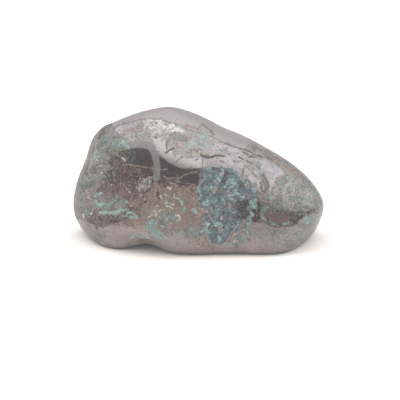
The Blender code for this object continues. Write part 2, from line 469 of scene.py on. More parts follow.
WINDOW = [(12.9, 5.3), (13.7, 5.6), (15.3, 5.6), (16.5, 5.3), (17.5, 5.0), (18.1, 4.5), (18.1, 3.9),
    (17.5, 3.4), (16.5, 3.3), (15.3, 3.3), (14.7, 3.7), (14.1, 4.3), (12.9, 4.5)]
print("tarnish outline:", len(TARNISH), "corners")

# %% [markdown]
# ## The map: small patches and painted highlights
#
# Five smaller things stand out on the front: a green wedge of malachite low on
# the left, a grey fold beside the crust where the ore closed over a gap, a
# lighter flat on the right shoulder, and two painted highlights: a pale edge
# over the middle mirror and a creamy patch under the ledge. The pale edge is a
# stroke, the rest are outlines.

# %% Green wedge, fold and the bright places
GREEN_WEDGE = [(-9.1, 4.1), (-8.5, 3.8), (-8.0, 3.0), (-8.2, 2.5), (-7.8, 1.9), (-7.2, 1.6),
    (-6.8, 0.8), (-7.0, 0.1), (-7.6, -0.2), (-8.2, 0.1), (-8.8, 0.7), (-9.4, 1.3), (-10.2, 1.8),
    (-10.7, 2.1), (-10.8, 2.6), (-10.2, 3.0), (-9.7, 3.4)]
FOLD = [(13.0, 12.4), (13.5, 11.9), (13.9, 11.3), (14.3, 10.8), (14.3, 10.1), (14.0, 9.6), (13.6, 9.4),
    (13.5, 10.2), (13.4, 11.0), (13.1, 11.6)]
LIGHT_FLAT = [(12.4, 15.9), (13.7, 15.3), (14.9, 14.5), (15.9, 14.7), (17.1, 13.7), (17.3, 12.5),
    (16.7, 12.1), (16.1, 11.3), (15.9, 10.3), (15.3, 9.7), (14.7, 10.1), (14.5, 11.3), (14.1, 12.3),
    (13.3, 13.3), (12.9, 14.5)]
# The pale edge and the cream patch below are painted highlights, not minerals.
PAINTED_HIGHLIGHT_EDGE = [(-8.0, 19.5), (-6.8, 17.6), (-5.4, 16.3), (-4.0, 15.5), (-2.2, 15.2), (0.2, 15.1)]
PAINTED_HIGHLIGHT = [(-10.2, 23.7), (-8.6, 23.8), (-7.0, 23.7), (-5.8, 23.2), (-4.6, 22.7), (-3.6, 22.2),
    (-3.0, 21.7), (-4.0, 21.7), (-5.0, 21.8), (-6.2, 21.6), (-7.2, 21.2), (-8.2, 20.6), (-9.0, 20.6),
    (-9.8, 21.6), (-10.4, 22.6)]
print("cream outline:", len(PAINTED_HIGHLIGHT), "corners")

# %% [markdown]
# ## The map of minerals: foot and ends
#
# Along the table runs a pale foot, whose paleness is partly a painted
# reflection of the white table, and the two ends of the stone are matte,
# because they rubbed on the other stones in the tumbler. These zones reach
# round the stone, so an outline can't close them. A line across the plan says
# where each begins.

# %% Where the foot and the matte ends begin
FOOT_LINE = [(-25.0, 4.2), (-22.7, 3.5), (-20.6, 2.9), (-14.5, 2.8), (-11.4, 2.7), (-9.6, 2.4),
    (-7.6, 2.0), (-4.6, 2.0), (-1.8, 1.4), (0.6, 0.4), (1.8, -1.2), (8.4, -1.0), (9.2, 1.6),
    (10.4, 3.4), (12.9, 3.5), (18.5, 2.6), (20.5, 4.5), (24.1, 6.8)]
# these two go upwards, so their pairs are (up, across)
LEFT_LINE = [(3.0, -22.6), (7.9, -21.3), (10.9, -20.3), (12.9, -18.9), (14.9, -17.1), (16.9, -16.8),
    (18.9, -16.0), (20.4, -15.7), (22.0, -17.1), (24.0, -17.3)]
RIGHT_LINE = [(3.0, 17.0), (6.0, 14.5), (8.3, 13.7), (9.9, 14.9), (11.9, 15.9), (13.5, 16.7),
    (14.9, 15.7), (16.5, 13.3), (18.0, 10.5)]
print("the foot's line goes from", FOOT_LINE[0], "to", FOOT_LINE[-1])

# %% [markdown]
# ## Marks: stains
#
# Now the small marks on the front, kind by kind. Each is a stroke with a pen of
# its own width, or a single dab of the pen. Scattering them by chance would be
# quicker, but the eye knows a stone by its largest marks, so these are placed
# one by one, and only the grains below half a millimetre are left to chance.
# First come the brown and grey stains in the polish.

# %% Brown stains
# Each stroke is its half-width, and then the across and the up of its points, one after another.
MARKS = {}
MARKS["brown"] = [
    (0.34, -8.4, 11.7, -8.8, 10.5, -9.0, 8.7, -9.2, 7.7), (0.46, -15.0, 21.0, -14.3, 21.7, -13.1, 22.1),
    (0.36, -13.1, 22.1, -12.0, 22.3, -11.2, 22.8), (0.24, -15.3, 20.9, -15.3, 20.5),
    (0.22, -15.8, 21.7), (0.2, -10.5, 20.8), (0.22, -8.8, 21.5), (0.26, -4.4, 19.0, -4.2, 18.6),
    (0.22, -4.7, 17.4, -4.7, 17.0), (0.28, -0.6, 17.9, 0.2, 17.5, 0.6, 17.0),
    (0.26, -1.5, 17.8, -1.4, 16.6), (0.28, 2.6, 22.0, 3.0, 21.2, 2.8, 20.8),
    (0.28, -2.6, 23.0, -1.6, 22.7, -0.4, 22.3, 0.4, 22.1), (0.16, 3.6, 20.6),
    (0.16, 4.6, 19.9, 5.4, 19.2), (0.1, -6.0, 20.0, -6.0, 19.4), (0.1, -5.0, 18.4, -3.6, 18.5),
    (0.16, -6.8, 20.0, -6.9, 20.3), (0.18, 9.1, 14.1, 9.0, 12.5), (0.26, 9.0, 12.4, 9.8, 12.4),
    (0.24, 12.0, 8.5, 12.4, 8.1), (0.48, 15.1, 16.1, 16.5, 15.1), (0.56, 17.3, 14.7, 18.7, 13.7),
    (0.5, 19.5, 13.4, 20.3, 12.5), (0.14, 20.1, 9.5), (0.22, 19.9, 3.1, 20.0, 2.5),
    (0.24, -20.3, 0.7, -19.9, 0.1), (0.14, -19.4, -0.2), (0.28, -0.6, 1.7, -0.2, 1.7),
    (0.16, -6.9, 1.8), (0.16, -5.2, 2.2), (0.16, -1.0, 3.4), (0.38, 4.0, 10.3, 4.6, 9.9),
    (0.4, 5.2, 7.1, 6.4, 6.9), (0.26, 10.4, 9.3, 9.7, 8.5), (0.2, 14.3, 1.5),
    (0.14, -7.8, 24.4, -7.4, 24.2), (0.08, -4.2, 24.1), (0.4, 1.0, 0.7, 1.6, -0.1),
    (0.48, -21.3, 9.9, -22.1, 7.9), (0.52, -21.9, 6.7, -22.7, 5.5, -22.1, 4.5),
    (0.4, -20.5, 10.7, -19.9, 11.9), (0.52, -0.2, -0.1, 1.2, -0.9, 2.8, -1.5),
    (0.18, 18.1, -0.1, 18.5, -0.7),
    (0.09, -15.5, 23.6, -13.7, 23.8, -12.0, 24.1, -10.6, 24.2, -8.2, 24.0),
    (0.24, -10.0, 22.2, -9.8, 21.8), (0.3, 5.8, 19.5, 6.4, 19.3),
]
print("brown stains:", len(MARKS["brown"]))

# %% Grey stains
MARKS["grey"] = [
    (0.18, -15.7, 16.4, -15.4, 16.0, -14.9, 15.7), (0.2, -14.6, 16.6, -14.1, 16.3),
    (0.48, -15.5, 20.2, -14.3, 19.8), (0.16, -13.1, 21.6, -12.7, 21.7), (0.2, -2.0, 17.5, -2.0, 16.8),
    (0.16, -3.0, 17.5, -2.2, 16.9), (0.3, 0.0, 19.3), (0.26, 3.2, 19.2),
    (0.16, 4.6, 17.8, 5.0, 18.1, 5.7, 18.0, 5.8, 17.3), (0.2, -6.3, 22.8, -5.9, 22.7),
    (0.1, -7.0, 21.7, -5.8, 21.7), (0.1, -5.6, 21.8, -5.0, 22.2, -4.6, 22.5),
    (0.1, -9.2, 23.1, -8.7, 22.9, -8.8, 23.3), (0.1, -8.2, 23.4, -8.0, 22.9),
    (0.1, -7.0, 23.2, -6.6, 23.3), (0.12, -11.4, 20.6, -11.1, 20.0), (0.12, -12.1, 21.1, -12.2, 20.4),
    (0.1, -12.4, 19.8), (0.12, -11.8, 19.9), (0.1, -9.7, 21.1, -9.2, 20.7), (0.1, -10.5, 19.6),
    (0.1, -9.1, 19.2, -9.0, 19.6), (0.1, -13.2, 20.5), (0.12, -10.1, 21.5),
    (0.38, 16.3, 11.8, 17.1, 11.9), (0.38, 18.1, 11.6, 18.7, 11.7), (0.56, 19.5, 10.7, 20.7, 10.5),
    (0.46, 21.3, 11.5, 21.9, 10.9), (0.24, 18.3, 9.9, 18.2, 9.3), (0.24, 16.3, 11.1, 16.3, 10.3),
    (0.34, 21.5, 12.6, 21.3, 12.3), (0.3, 23.1, 10.3, 22.9, 9.1), (0.26, 16.7, 9.3, 16.9, 8.3),
    (0.3, 15.5, 8.1, 16.3, 8.1), (0.32, 13.3, 7.9, 14.1, 8.5), (0.24, 19.0, 7.1),
    (0.38, 20.9, 2.7, 21.7, 2.6), (0.28, 22.7, 2.9), (0.44, 14.1, 2.1, 16.1, 1.9),
    (0.44, 12.0, 14.3, 12.2, 15.1), (0.32, 11.2, 13.1, 11.8, 12.5), (0.24, 11.3, 10.9),
    (0.22, 11.9, 11.1), (0.3, 12.9, 13.0, 12.7, 12.5), (0.56, -6.0, 4.9, -4.6, 4.7), (0.4, -5.4, 4.1),
    (0.36, -2.4, 2.1, -2.6, 0.9), (0.34, -5.6, 1.3, -5.0, 1.5), (0.26, -0.9, 4.0),
    (0.28, -6.4, 1.5, -6.0, 0.7), (0.2, -19.5, 1.5, -19.1, 1.2), (0.16, -19.9, 2.0), (0.16, -18.9, 0.7),
    (0.14, -18.0, 1.7), (0.16, -20.3, 1.2), (0.14, -18.2, 1.1), (0.12, -18.7, 2.0),
    (0.28, -22.7, 3.9, -22.1, 3.3, -21.5, 2.5), (0.26, 6.0, 4.5, 6.0, 3.1), (0.38, 8.8, 3.6, 9.4, 3.4),
    (0.26, 9.6, 0.5, 10.0, 0.1), (0.26, 6.2, 0.7, 5.8, -0.1), (0.48, -5.2, 20.6, -2.4, 20.0),
    (0.3, -4.4, 21.2, -3.4, 20.8), (0.24, 9.2, 14.7, 10.8, 13.9), (0.3, 10.4, 15.1, 11.2, 14.5),
    (0.36, 15.5, 6.5, 17.9, 6.0), (0.26, 13.3, 6.7, 14.5, 6.3), (0.16, 12.6, 5.1, 13.0, 4.3, 13.7, 3.3),
    (0.26, 19.1, 3.9, 19.5, 4.9), (0.3, 22.3, 7.7, 23.7, 7.5), (0.28, 20.3, 7.5, 21.1, 8.7),
    (0.18, 7.0, 15.8, 8.0, 15.4), (0.22, 3.6, 15.9, 5.2, 15.3),
]
print("grey stains:", len(MARKS["grey"]))

# %% [markdown]
# ## Marks: folds
#
# The ore has a few closed folds and old chips, which the polish only rounded.
# They are thin strokes too, and they are cut a little into the mesh later.

# %% Folds
MARKS["fold"] = [
    (0.18, 13.8, 16.5, 14.3, 16.2), (0.16, 14.8, 16.0, 15.1, 15.9),
    (0.22, -17.0, 22.2, -16.5, 22.7, -16.0, 23.1), (0.14, -20.9, 15.2, -19.5, 15.2),
    (0.12, -20.5, 14.4, -19.5, 14.4), (0.18, -22.0, 14.7, -21.3, 14.9),
    (0.16, -16.7, 17.8, -16.6, 16.7), (0.36, -22.5, 10.6, -21.3, 11.3),
    (0.09, -7.0, 23.9, -6.2, 23.7, -5.4, 23.3, -4.4, 23.1, -3.4, 23.0, -2.8, 22.6, -2.2, 22.2),
    (0.08, -2.0, 22.1, -1.2, 21.8, -0.2, 21.5, 0.4, 21.4), (0.2, 1.7, 16.8, 1.9, 16.8),
    (0.1, -0.5, 15.9, -0.1, 16.2), (0.12, 6.2, 17.2), (0.1, 6.9, 17.4), (0.12, -3.4, 16.4),
    (0.2, -8.4, 20.4, -8.2, 20.4), (0.12, -18.9, 16.0, -17.9, 15.7), (0.2, -19.1, 15.3, -18.3, 15.1),
    (0.1, 5.2, 6.9, 5.6, 6.7),
]
print("folds:", len(MARKS["fold"]))

# %% [markdown]
# ## Marks: the clumps of the crust
#
# The crust isn't one mineral. Plum-dark ore shows between slate, teal and
# pinkish clumps, and small patches of slate and teal lie outside it as well.
# The largest clumps are drawn, so that the crust has the right lights and darks.

# %% Plum clumps
MARKS["plum"] = [
    (0.24, 5.4, 13.4, 5.8, 13.2), (0.24, 5.2, 12.8, 5.3, 11.9), (0.26, 5.0, 11.7, 5.4, 11.4),
    (0.18, 7.7, 11.6), (0.16, 6.6, 13.0, 7.0, 13.1), (0.18, 3.1, 14.2, 3.8, 14.1), (0.16, 4.3, 13.6),
    (0.24, 8.0, 10.6, 9.4, 10.9), (0.6, 8.2, 7.7, 9.4, 7.5), (0.64, 7.8, 6.9, 9.0, 6.5),
    (0.6, 8.4, 5.9, 9.4, 5.3), (0.4, 8.0, 4.8, 9.2, 4.6), (0.2, 6.0, 5.5, 6.0, 5.1), (0.16, 5.0, 5.6),
    (0.14, 1.5, 5.2, 1.8, 5.0), (0.44, 11.1, 5.7, 11.3, 3.9), (0.28, 12.1, 7.1, 12.2, 5.7),
    (0.28, 11.9, 4.3), (0.14, 18.9, 5.2, 19.3, 4.5, 19.0, 3.7), (0.24, 19.4, 3.9, 19.7, 3.5),
    (0.16, 19.7, 5.3, 20.2, 4.4, 19.6, 3.9), (0.16, 20.3, 4.1, 20.9, 4.8), (0.14, 22.3, 5.3, 23.0, 5.8),
    (0.16, 23.9, 5.3), (0.24, -16.9, 16.3, -16.3, 16.4), (0.2, -15.8, 16.6, -15.8, 16.0),
    (0.28, -17.5, 3.6, -15.9, 3.7), (0.26, -8.1, 9.3, -7.8, 8.3), (0.2, -11.4, 9.3, -10.2, 10.0),
    (0.16, 18.5, 4.5, 18.7, 3.7), (0.2, -19.4, 5.6), (0.24, -10.7, 7.6, -10.7, 7.5),
    (0.16, 1.0, 12.7, 0.9, 13.7),
]
print("plum clumps:", len(MARKS["plum"]))

# %% Slate clumps
MARKS["slate"] = [
    (0.1, 3.8, 13.7, 4.1, 13.2), (0.2, 19.5, 5.0, 19.6, 4.7), (0.2, 20.3, 5.1, 20.5, 4.9),
    (0.18, 21.2, 5.2), (0.16, 18.7, 4.3, 18.8, 3.8), (0.08, -12.9, 17.7, -13.0, 16.5, -13.4, 15.5),
    (0.08, -13.2, 15.3, -12.8, 14.5, -12.2, 13.9), (0.3, 1.0, 10.0, 1.2, 9.5),
    (0.32, 2.8, 8.9, 3.4, 8.5), (0.18, 1.4, 11.7, 1.6, 10.9), (0.2, 2.0, 13.2, 3.6, 13.2),
    (0.24, 3.8, 13.8, 4.4, 13.4), (0.26, 8.0, 10.1, 9.8, 10.1), (0.22, 7.0, 11.6, 8.0, 11.4),
    (0.3, 4.6, 5.5, 5.6, 5.1), (0.26, 3.2, 2.1, 3.6, 1.7), (0.34, 2.8, 0.7, 3.2, -0.3),
    (0.24, 6.6, 1.5, 5.6, 1.3), (0.28, 6.2, 3.7, 6.8, 3.3), (0.22, 4.8, -0.1, 5.2, -0.5),
    (0.24, 10.0, 9.1, 10.8, 8.7), (0.36, 6.2, 13.7, 6.8, 13.5), (0.3, 0.5, 12.9, 0.6, 12.3),
    (0.26, 4.6, 6.7, 3.8, 6.3), (0.24, 6.4, 6.3, 7.0, 5.3), (0.34, -7.3, 3.8, -7.0, 2.9),
    (0.18, -19.2, 16.1, -18.6, 16.2), (0.18, -22.0, 14.3, -21.6, 14.3),
    (0.32, -19.4, 13.7, -18.9, 13.4), (0.22, -22.7, 5.7, -22.4, 4.8), (0.1, -16.1, 16.9, -14.5, 16.9),
    (0.3, -0.4, 0.7, 0.3, 1.4), (0.22, -1.6, 2.7, -1.2, 2.7), (0.22, 20.2, 6.2, 21.1, 6.3),
    (0.22, 21.7, 6.4, 22.1, 6.4), (0.22, 23.0, 5.9, 23.7, 5.3), (0.18, 13.1, 6.8, 13.1, 6.4),
    (0.16, 12.4, 6.9), (0.14, 15.9, 6.4), (0.12, 17.3, 5.4, 18.1, 5.4), (0.16, 18.3, 5.2, 18.4, 4.3),
    (0.2, 14.4, 4.1, 14.5, 3.3), (0.12, 16.2, 2.1), (0.12, 16.7, 1.7), (0.12, 15.7, 1.8),
    (0.12, 15.0, 9.3), (0.14, 17.6, 9.2), (0.26, 7.3, -0.6, 7.6, -1.1), (0.32, 9.6, 1.4, 10.1, 1.3),
    (0.28, 7.8, 0.7, 8.8, -0.1), (0.3, 7.5, 1.9, 8.0, 2.2), (0.26, 10.2, 3.5, 10.2, 2.3),
    (0.12, -17.9, 8.1, -16.9, 8.4), (0.12, -15.9, 7.2), (0.18, 13.1, 12.8), (0.2, -2.7, 7.3),
    (0.16, -18.2, 7.3, -17.1, 6.7), (0.2, 9.8, 6.1, 10.0, 5.5), (0.12, 12.0, 6.5), (0.14, 12.2, 3.9),
    (0.12, 18.1, 3.0), (0.18, -22.1, 10.3, -21.5, 10.7), (0.16, 0.4, 1.9, 0.6, 2.5),
    (0.14, -13.5, 17.8, -13.6, 17.2), (0.12, 21.1, 5.1, 20.5, 5.0),
]
print("slate clumps:", len(MARKS["slate"]))

# %% Teal clumps
MARKS["teal"] = [
    (0.44, 2.2, 13.9), (0.36, 2.1, 12.7, 2.5, 12.5), (0.48, 3.6, 11.2), (0.36, 3.6, 12.5, 4.2, 12.2),
    (0.34, 1.4, 10.3, 1.6, 9.7), (0.28, 2.4, 10.7, 2.7, 9.9), (0.52, 6.2, 11.2),
    (0.4, 7.0, 9.4, 8.6, 8.8), (0.36, 6.6, 8.6), (0.48, 1.2, 7.3, 2.0, 7.6),
    (0.46, 11.0, 7.7, 11.2, 6.8), (0.32, 10.7, 5.3, 10.9, 5.0), (0.22, 10.4, 4.5, 10.1, 2.3),
    (0.4, 1.6, 3.5, 1.8, 2.1), (0.32, 1.1, 4.1), (0.4, 3.6, 3.4, 4.6, 3.5), (0.36, 4.2, 0.7, 4.0, 0.1),
    (0.3, 8.2, 2.7, 8.6, 2.8), (0.36, 10.6, 10.5, 11.2, 9.9), (0.28, 2.8, 7.5, 3.6, 7.7),
    (0.32, 3.8, 5.9, 3.6, 4.7), (0.22, 2.4, 9.1, 3.2, 9.5), (0.26, 5.6, 2.3, 5.2, 1.3),
    (0.28, 8.4, 3.8, 7.8, 3.6), (0.26, 6.8, 12.0, 8.2, 12.2), (0.26, 7.2, 13.2, 7.6, 13.5),
    (0.24, 4.8, 8.5, 5.6, 8.7), (0.22, 6.2, 6.3, 6.6, 5.9), (0.3, -19.1, 20.0, -18.5, 20.2),
    (0.1, -18.6, 20.7), (0.3, -18.0, 19.7, -17.5, 19.8), (0.22, -17.0, 19.2, -16.6, 19.6),
    (0.42, -15.8, 18.6, -15.4, 19.0), (0.46, -21.4, 16.4, -21.1, 17.3),
    (0.22, -20.7, 17.7, -20.3, 17.3), (0.28, -22.5, 5.6, -22.4, 5.0), (0.34, -20.4, 8.8, -19.6, 9.3),
    (0.36, -19.8, 6.6, -19.3, 7.1), (0.26, -18.7, 7.3, -17.3, 6.9), (0.28, 17.4, 7.1),
    (0.18, 16.8, 7.2), (0.6, 21.7, 4.0, 22.1, 3.9), (0.18, 20.6, 3.7), (0.16, 17.2, 9.8, 17.4, 9.1),
    (0.22, 14.3, 8.4, 15.0, 8.4), (0.18, 18.0, 12.3, 18.3, 12.2), (0.16, 16.4, 11.3, 16.3, 11.6),
    (0.14, 16.5, 10.4), (0.18, 21.3, 12.6, 21.7, 12.4), (0.18, 16.8, 15.5), (0.18, 18.3, 15.1),
    (0.26, -3.1, 6.0, -2.6, 6.0), (0.22, -3.5, 7.5, -3.0, 7.0), (0.18, -3.4, 1.5, -2.8, 1.4),
    (0.18, -6.8, 5.1), (0.16, -5.7, 4.5, -5.8, 4.0), (0.18, -5.0, 4.4, -4.2, 3.9),
    (0.18, 16.9, 3.1, 17.9, 3.4), (0.14, 14.7, 3.1, 15.7, 3.1), (0.18, 0.1, 1.5, -0.2, 0.6),
    (0.24, -0.7, 1.5, -1.4, 2.3), (0.12, 12.9, 5.5, 12.7, 4.7), (0.12, 13.9, 6.4), (0.12, 16.7, 6.3),
    (0.1, 20.1, 4.7), (0.14, 19.7, 5.0), (0.1, 19.1, 6.1), (0.18, 5.2, 17.5), (0.2, 8.1, 0.5, 9.0, 0.0),
    (0.12, 11.4, 5.1, 11.6, 4.5), (0.12, 12.4, 6.0), (0.14, 22.1, 1.8, 21.5, 1.3),
    (0.16, -6.9, 4.7, -6.6, 4.2),
]
print("teal clumps:", len(MARKS["teal"]))

# %% Pinkish clumps
MARKS["pink"] = [
    (0.18, 13.3, 12.4, 13.7, 11.7, 14.0, 11.2), (0.16, 13.0, 11.2, 13.2, 10.5), (0.16, 14.4, 9.8),
    (0.16, 19.1, 12.1, 18.5, 11.5, 17.9, 11.0, 17.7, 9.9, 17.4, 9.1),
    (0.14, 17.9, 11.0, 18.7, 10.6, 19.5, 10.7), (0.18, 19.5, 9.7, 20.1, 9.4),
    (0.14, 21.6, 8.5, 22.3, 9.2, 22.9, 9.5), (0.16, 17.9, 8.3, 18.5, 7.5, 19.3, 7.1),
    # The long stroke below, along the upper left rim, is a painted highlight: a pale glint at the stone's
    # edge.
    (0.2, -19.5, 21.9, -20.2, 21.1, -20.8, 20.2, -21.4, 18.9, -21.9, 17.3, -22.3, 15.9, -22.7, 14.6),
    (0.16, -20.5, 19.8, -20.9, 18.4), (0.28, 6.0, 9.8, 6.1, 8.3), (0.24, 3.2, 10.5, 3.3, 9.7),
    (0.22, 2.2, 11.2, 2.5, 11.1), (0.18, 1.2, 13.1, 1.3, 12.3), (0.12, 0.8, 11.9, 0.4, 11.1, 0.0, 10.3),
    (0.42, 4.3, 2.6, 4.5, 2.0), (0.14, 2.1, 4.9, 2.6, 4.3, 3.2, 3.5), (0.18, 0.6, 9.1, 0.7, 8.5),
    (0.2, 7.8, 13.0, 7.9, 12.7), (0.22, 9.3, 11.0, 9.9, 11.4), (0.14, 2.5, 9.3, 2.5, 8.9),
    (0.12, 5.6, -0.2, 6.4, 1.2, 7.2, 2.2, 8.1, 3.2), (0.12, 7.0, 0.8, 8.0, 1.6, 8.6, 2.1),
    (0.14, 8.6, 0.9, 9.1, 0.4, 9.6, -0.2), (0.18, 7.1, -0.1), (0.16, 7.8, -0.2),
    (0.3, 1.0, 6.0, 1.8, 5.5), (0.18, 0.3, 6.4), (0.1, 7.2, 7.3), (0.1, -22.1, 12.8, -21.1, 13.0),
    (0.1, -20.7, 14.7, -19.7, 14.8), (0.16, -20.6, 13.6), (0.32, -22.5, 9.7, -22.1, 8.5),
    (0.1, -5.3, 11.2, -4.4, 10.7), (0.1, -7.8, 10.6), (0.1, -7.0, 10.4),
    (0.2, -11.1, 10.9, -10.8, 10.4), (0.16, -12.0, 10.4, -11.7, 10.7), (0.16, -11.9, 9.7),
    (0.12, -10.4, 3.2, -9.7, 3.6), (0.1, -13.0, 7.7, -13.3, 7.1), (0.12, 13.4, 12.3, 13.8, 11.4),
    (0.12, 3.6, 12.0, 3.2, 11.7), (0.16, 14.2, 9.2), (0.22, 12.9, 4.4, 13.3, 3.9),
    (0.12, 18.8, 11.0, 19.5, 11.3), (0.1, 17.6, 10.7, 17.7, 10.0), (0.2, 1.4, 23.0, 1.2, 22.0),
    (0.1, -20.4, 7.2, -20.5, 6.6), (0.14, -9.6, 11.0, -10.2, 10.3), (0.18, -19.1, 18.6, -19.4, 18.3),
    (0.16, 9.4, 3.5, 10.0, 3.1), (0.24, 2.6, 6.0, 3.0, 5.5), (0.18, -6.4, 3.5, -5.6, 2.7),
    (0.1, -20.1, 1.4), (0.14, 6.0, 7.5, 6.2, 6.7),
]
print("pinkish clumps:", len(MARKS["pink"]))

# %% [markdown]
# ## Marks: green and white flecks
#
# Malachite is the bright mint green in curls and beads, and the white flecks
# beside it are quartz or calcite. They are the last minerals that grew, so they
# lie over the others, and the mint ones stand up a little.

# %% Mint flecks
MARKS["mint"] = [
    (0.18, 4.7, 13.7, 4.6, 13.1), (0.16, 3.8, 12.3, 4.2, 11.9),
    (0.16, 5.8, 11.0, 5.7, 11.6, 6.2, 11.9, 6.8, 11.8, 7.1, 11.3, 6.9, 10.8, 6.3, 10.5),
    (0.18, 5.3, 10.6), (0.16, 2.6, 10.6, 2.7, 10.0), (0.16, 7.3, 10.0, 7.4, 9.1, 6.6, 8.8),
    (0.16, 7.8, 9.2, 8.2, 8.9, 8.9, 8.4), (0.16, 6.5, 8.2, 6.8, 8.1), (0.26, 1.2, 7.4, 1.4, 7.0),
    (0.18, 1.7, 7.7), (0.2, 10.3, 7.5), (0.18, 10.9, 7.4, 11.4, 7.9), (0.14, 4.9, 8.0),
    (0.14, 5.3, 7.6), (0.16, 3.4, 7.7), (0.2, 10.6, 5.4, 10.9, 5.1), (0.24, 1.8, 3.2, 2.2, 3.2),
    (0.26, 1.6, 2.4, 2.0, 1.6), (0.24, 3.5, 3.2, 4.0, 3.5), (0.2, 4.1, 0.8, 4.5, 0.4, 4.0, -0.2),
    (0.14, 6.4, -1.0), (0.14, 5.4, -0.8), (0.14, 9.8, 1.5), (0.16, 0.2, 9.9, 0.1, 10.4),
    (0.12, 0.3, 8.3), (0.14, 2.0, 8.3), (0.12, -0.2, 9.7), (0.16, 1.1, 2.1, 0.8, 1.7), (0.14, 5.6, 2.8),
    (0.12, 8.4, 12.3), (0.12, 2.3, 14.2), (0.12, 10.8, 6.6, 11.4, 6.7), (0.12, 8.5, 8.1),
    (0.22, -15.1, 19.4, -14.7, 19.6, -14.5, 19.0, -13.9, 18.5), (0.14, -17.0, 19.2),
    (0.12, -15.9, 18.8, -15.5, 19.1), (0.2, -21.4, 17.5, -20.7, 17.7), (0.12, -20.3, 17.4),
    (0.18, -21.7, 16.4, -21.1, 16.9), (0.16, -19.8, 9.2, -19.5, 9.5), (0.12, -20.7, 8.7),
    (0.26, -20.7, 7.7, -20.4, 7.2, -19.8, 6.8), (0.18, -19.2, 7.3, -19.5, 6.6), (0.14, -18.6, 6.5),
    (0.24, -19.6, 5.3, -18.7, 5.4, -17.7, 5.4, -16.7, 5.4, -15.7, 5.7, -14.6, 6.0),
    (0.14, -15.9, 6.1, -15.3, 5.9), (0.14, -14.2, 5.3, -13.6, 5.4, -13.0, 5.2, -12.4, 4.5),
    (0.18, -13.6, 4.4, -12.7, 4.4), (0.12, -15.0, 4.8, -14.6, 4.8), (0.1, -13.6, 6.6),
    (0.08, -14.6, 7.7, -14.6, 7.2), (0.14, -13.3, 0.3, -13.1, 0.7, -12.7, 0.4, -12.0, 0.3),
    (0.14, -11.3, 0.8, -11.0, 0.3, -10.4, 0.0, -9.9, -0.1), (0.3, -3.3, 22.6, -3.4, 22.2),
    (0.26, -1.5, 18.6, -1.3, 19.2, -0.9, 19.5), (0.1, -1.9, 18.2, -2.0, 17.8),
    (0.1, 0.3, 20.2, 0.7, 20.5, 1.1, 20.7, 1.6, 20.4, 1.8, 19.9), (0.08, 1.5, 19.4, 1.5, 19.2),
    (0.09, 2.1, 19.1, 2.3, 18.8), (0.1, 1.9, 18.6, 1.7, 18.2, 1.3, 18.1), (0.08, 0.5, 18.7),
    (0.1, 5.2, 17.4), (0.08, -1.9, 21.9, -1.5, 22.0), (0.16, -6.8, 9.2, -6.3, 8.9),
    (0.1, -4.8, 8.4, -4.4, 8.1, -3.8, 8.1), (0.16, -3.4, 7.5, -3.1, 7.0), (0.18, -6.5, 7.3, -6.1, 7.4),
    (0.08, -5.7, 6.6), (0.12, -2.7, 6.2), (0.26, -1.0, 6.0, -0.4, 5.6), (0.1, -7.5, 2.7, -6.9, 2.6),
    (0.1, -0.7, 2.4), (0.08, -1.9, 1.8), (0.16, 21.9, 4.4, 21.5, 4.1), (0.16, 21.6, 3.3, 21.9, 3.4),
    (0.14, 23.1, 3.3), (0.1, 20.5, 3.8), (0.12, 20.7, 5.2), (0.12, 17.3, 9.5, 17.3, 9.2),
    (0.1, 17.5, 8.5), (0.12, 14.6, 8.3, 15.0, 8.5), (0.12, 18.1, 12.4), (0.08, 16.5, 11.4),
    (0.08, 16.1, 11.2), (0.08, 16.5, 10.5), (0.08, 18.2, 11.1), (0.08, 18.8, 11.7),
    (0.1, 20.3, 0.3, 20.8, 0.6, 21.3, 0.7), (0.08, 21.2, 1.1, 21.5, 1.4),
    (0.08, 12.8, 14.5, 12.9, 14.0, 12.7, 13.5), (0.08, 12.2, 13.6), (0.08, 11.8, 14.1),
    (0.08, 11.9, 15.7), (0.1, -4.0, 3.8), (0.1, 16.9, 15.5), (0.12, 18.3, 15.2), (0.08, 22.9, 8.9),
    (0.08, 24.1, 6.8), (0.1, 24.0, 5.2), (0.08, -23.3, 9.2, -23.1, 9.3), (0.12, 16.9, 3.1, 17.7, 3.3),
    (0.1, -7.9, 0.7), (0.1, -7.5, 1.3), (0.1, -8.4, 0.5), (0.1, -7.4, 0.3), (0.1, -9.1, 1.5, -8.8, 1.1),
    (0.08, -10.1, 2.9, -9.4, 3.3), (0.08, -9.0, 3.7), (0.08, -6.1, 4.0),
]
print("mint flecks:", len(MARKS["mint"]))

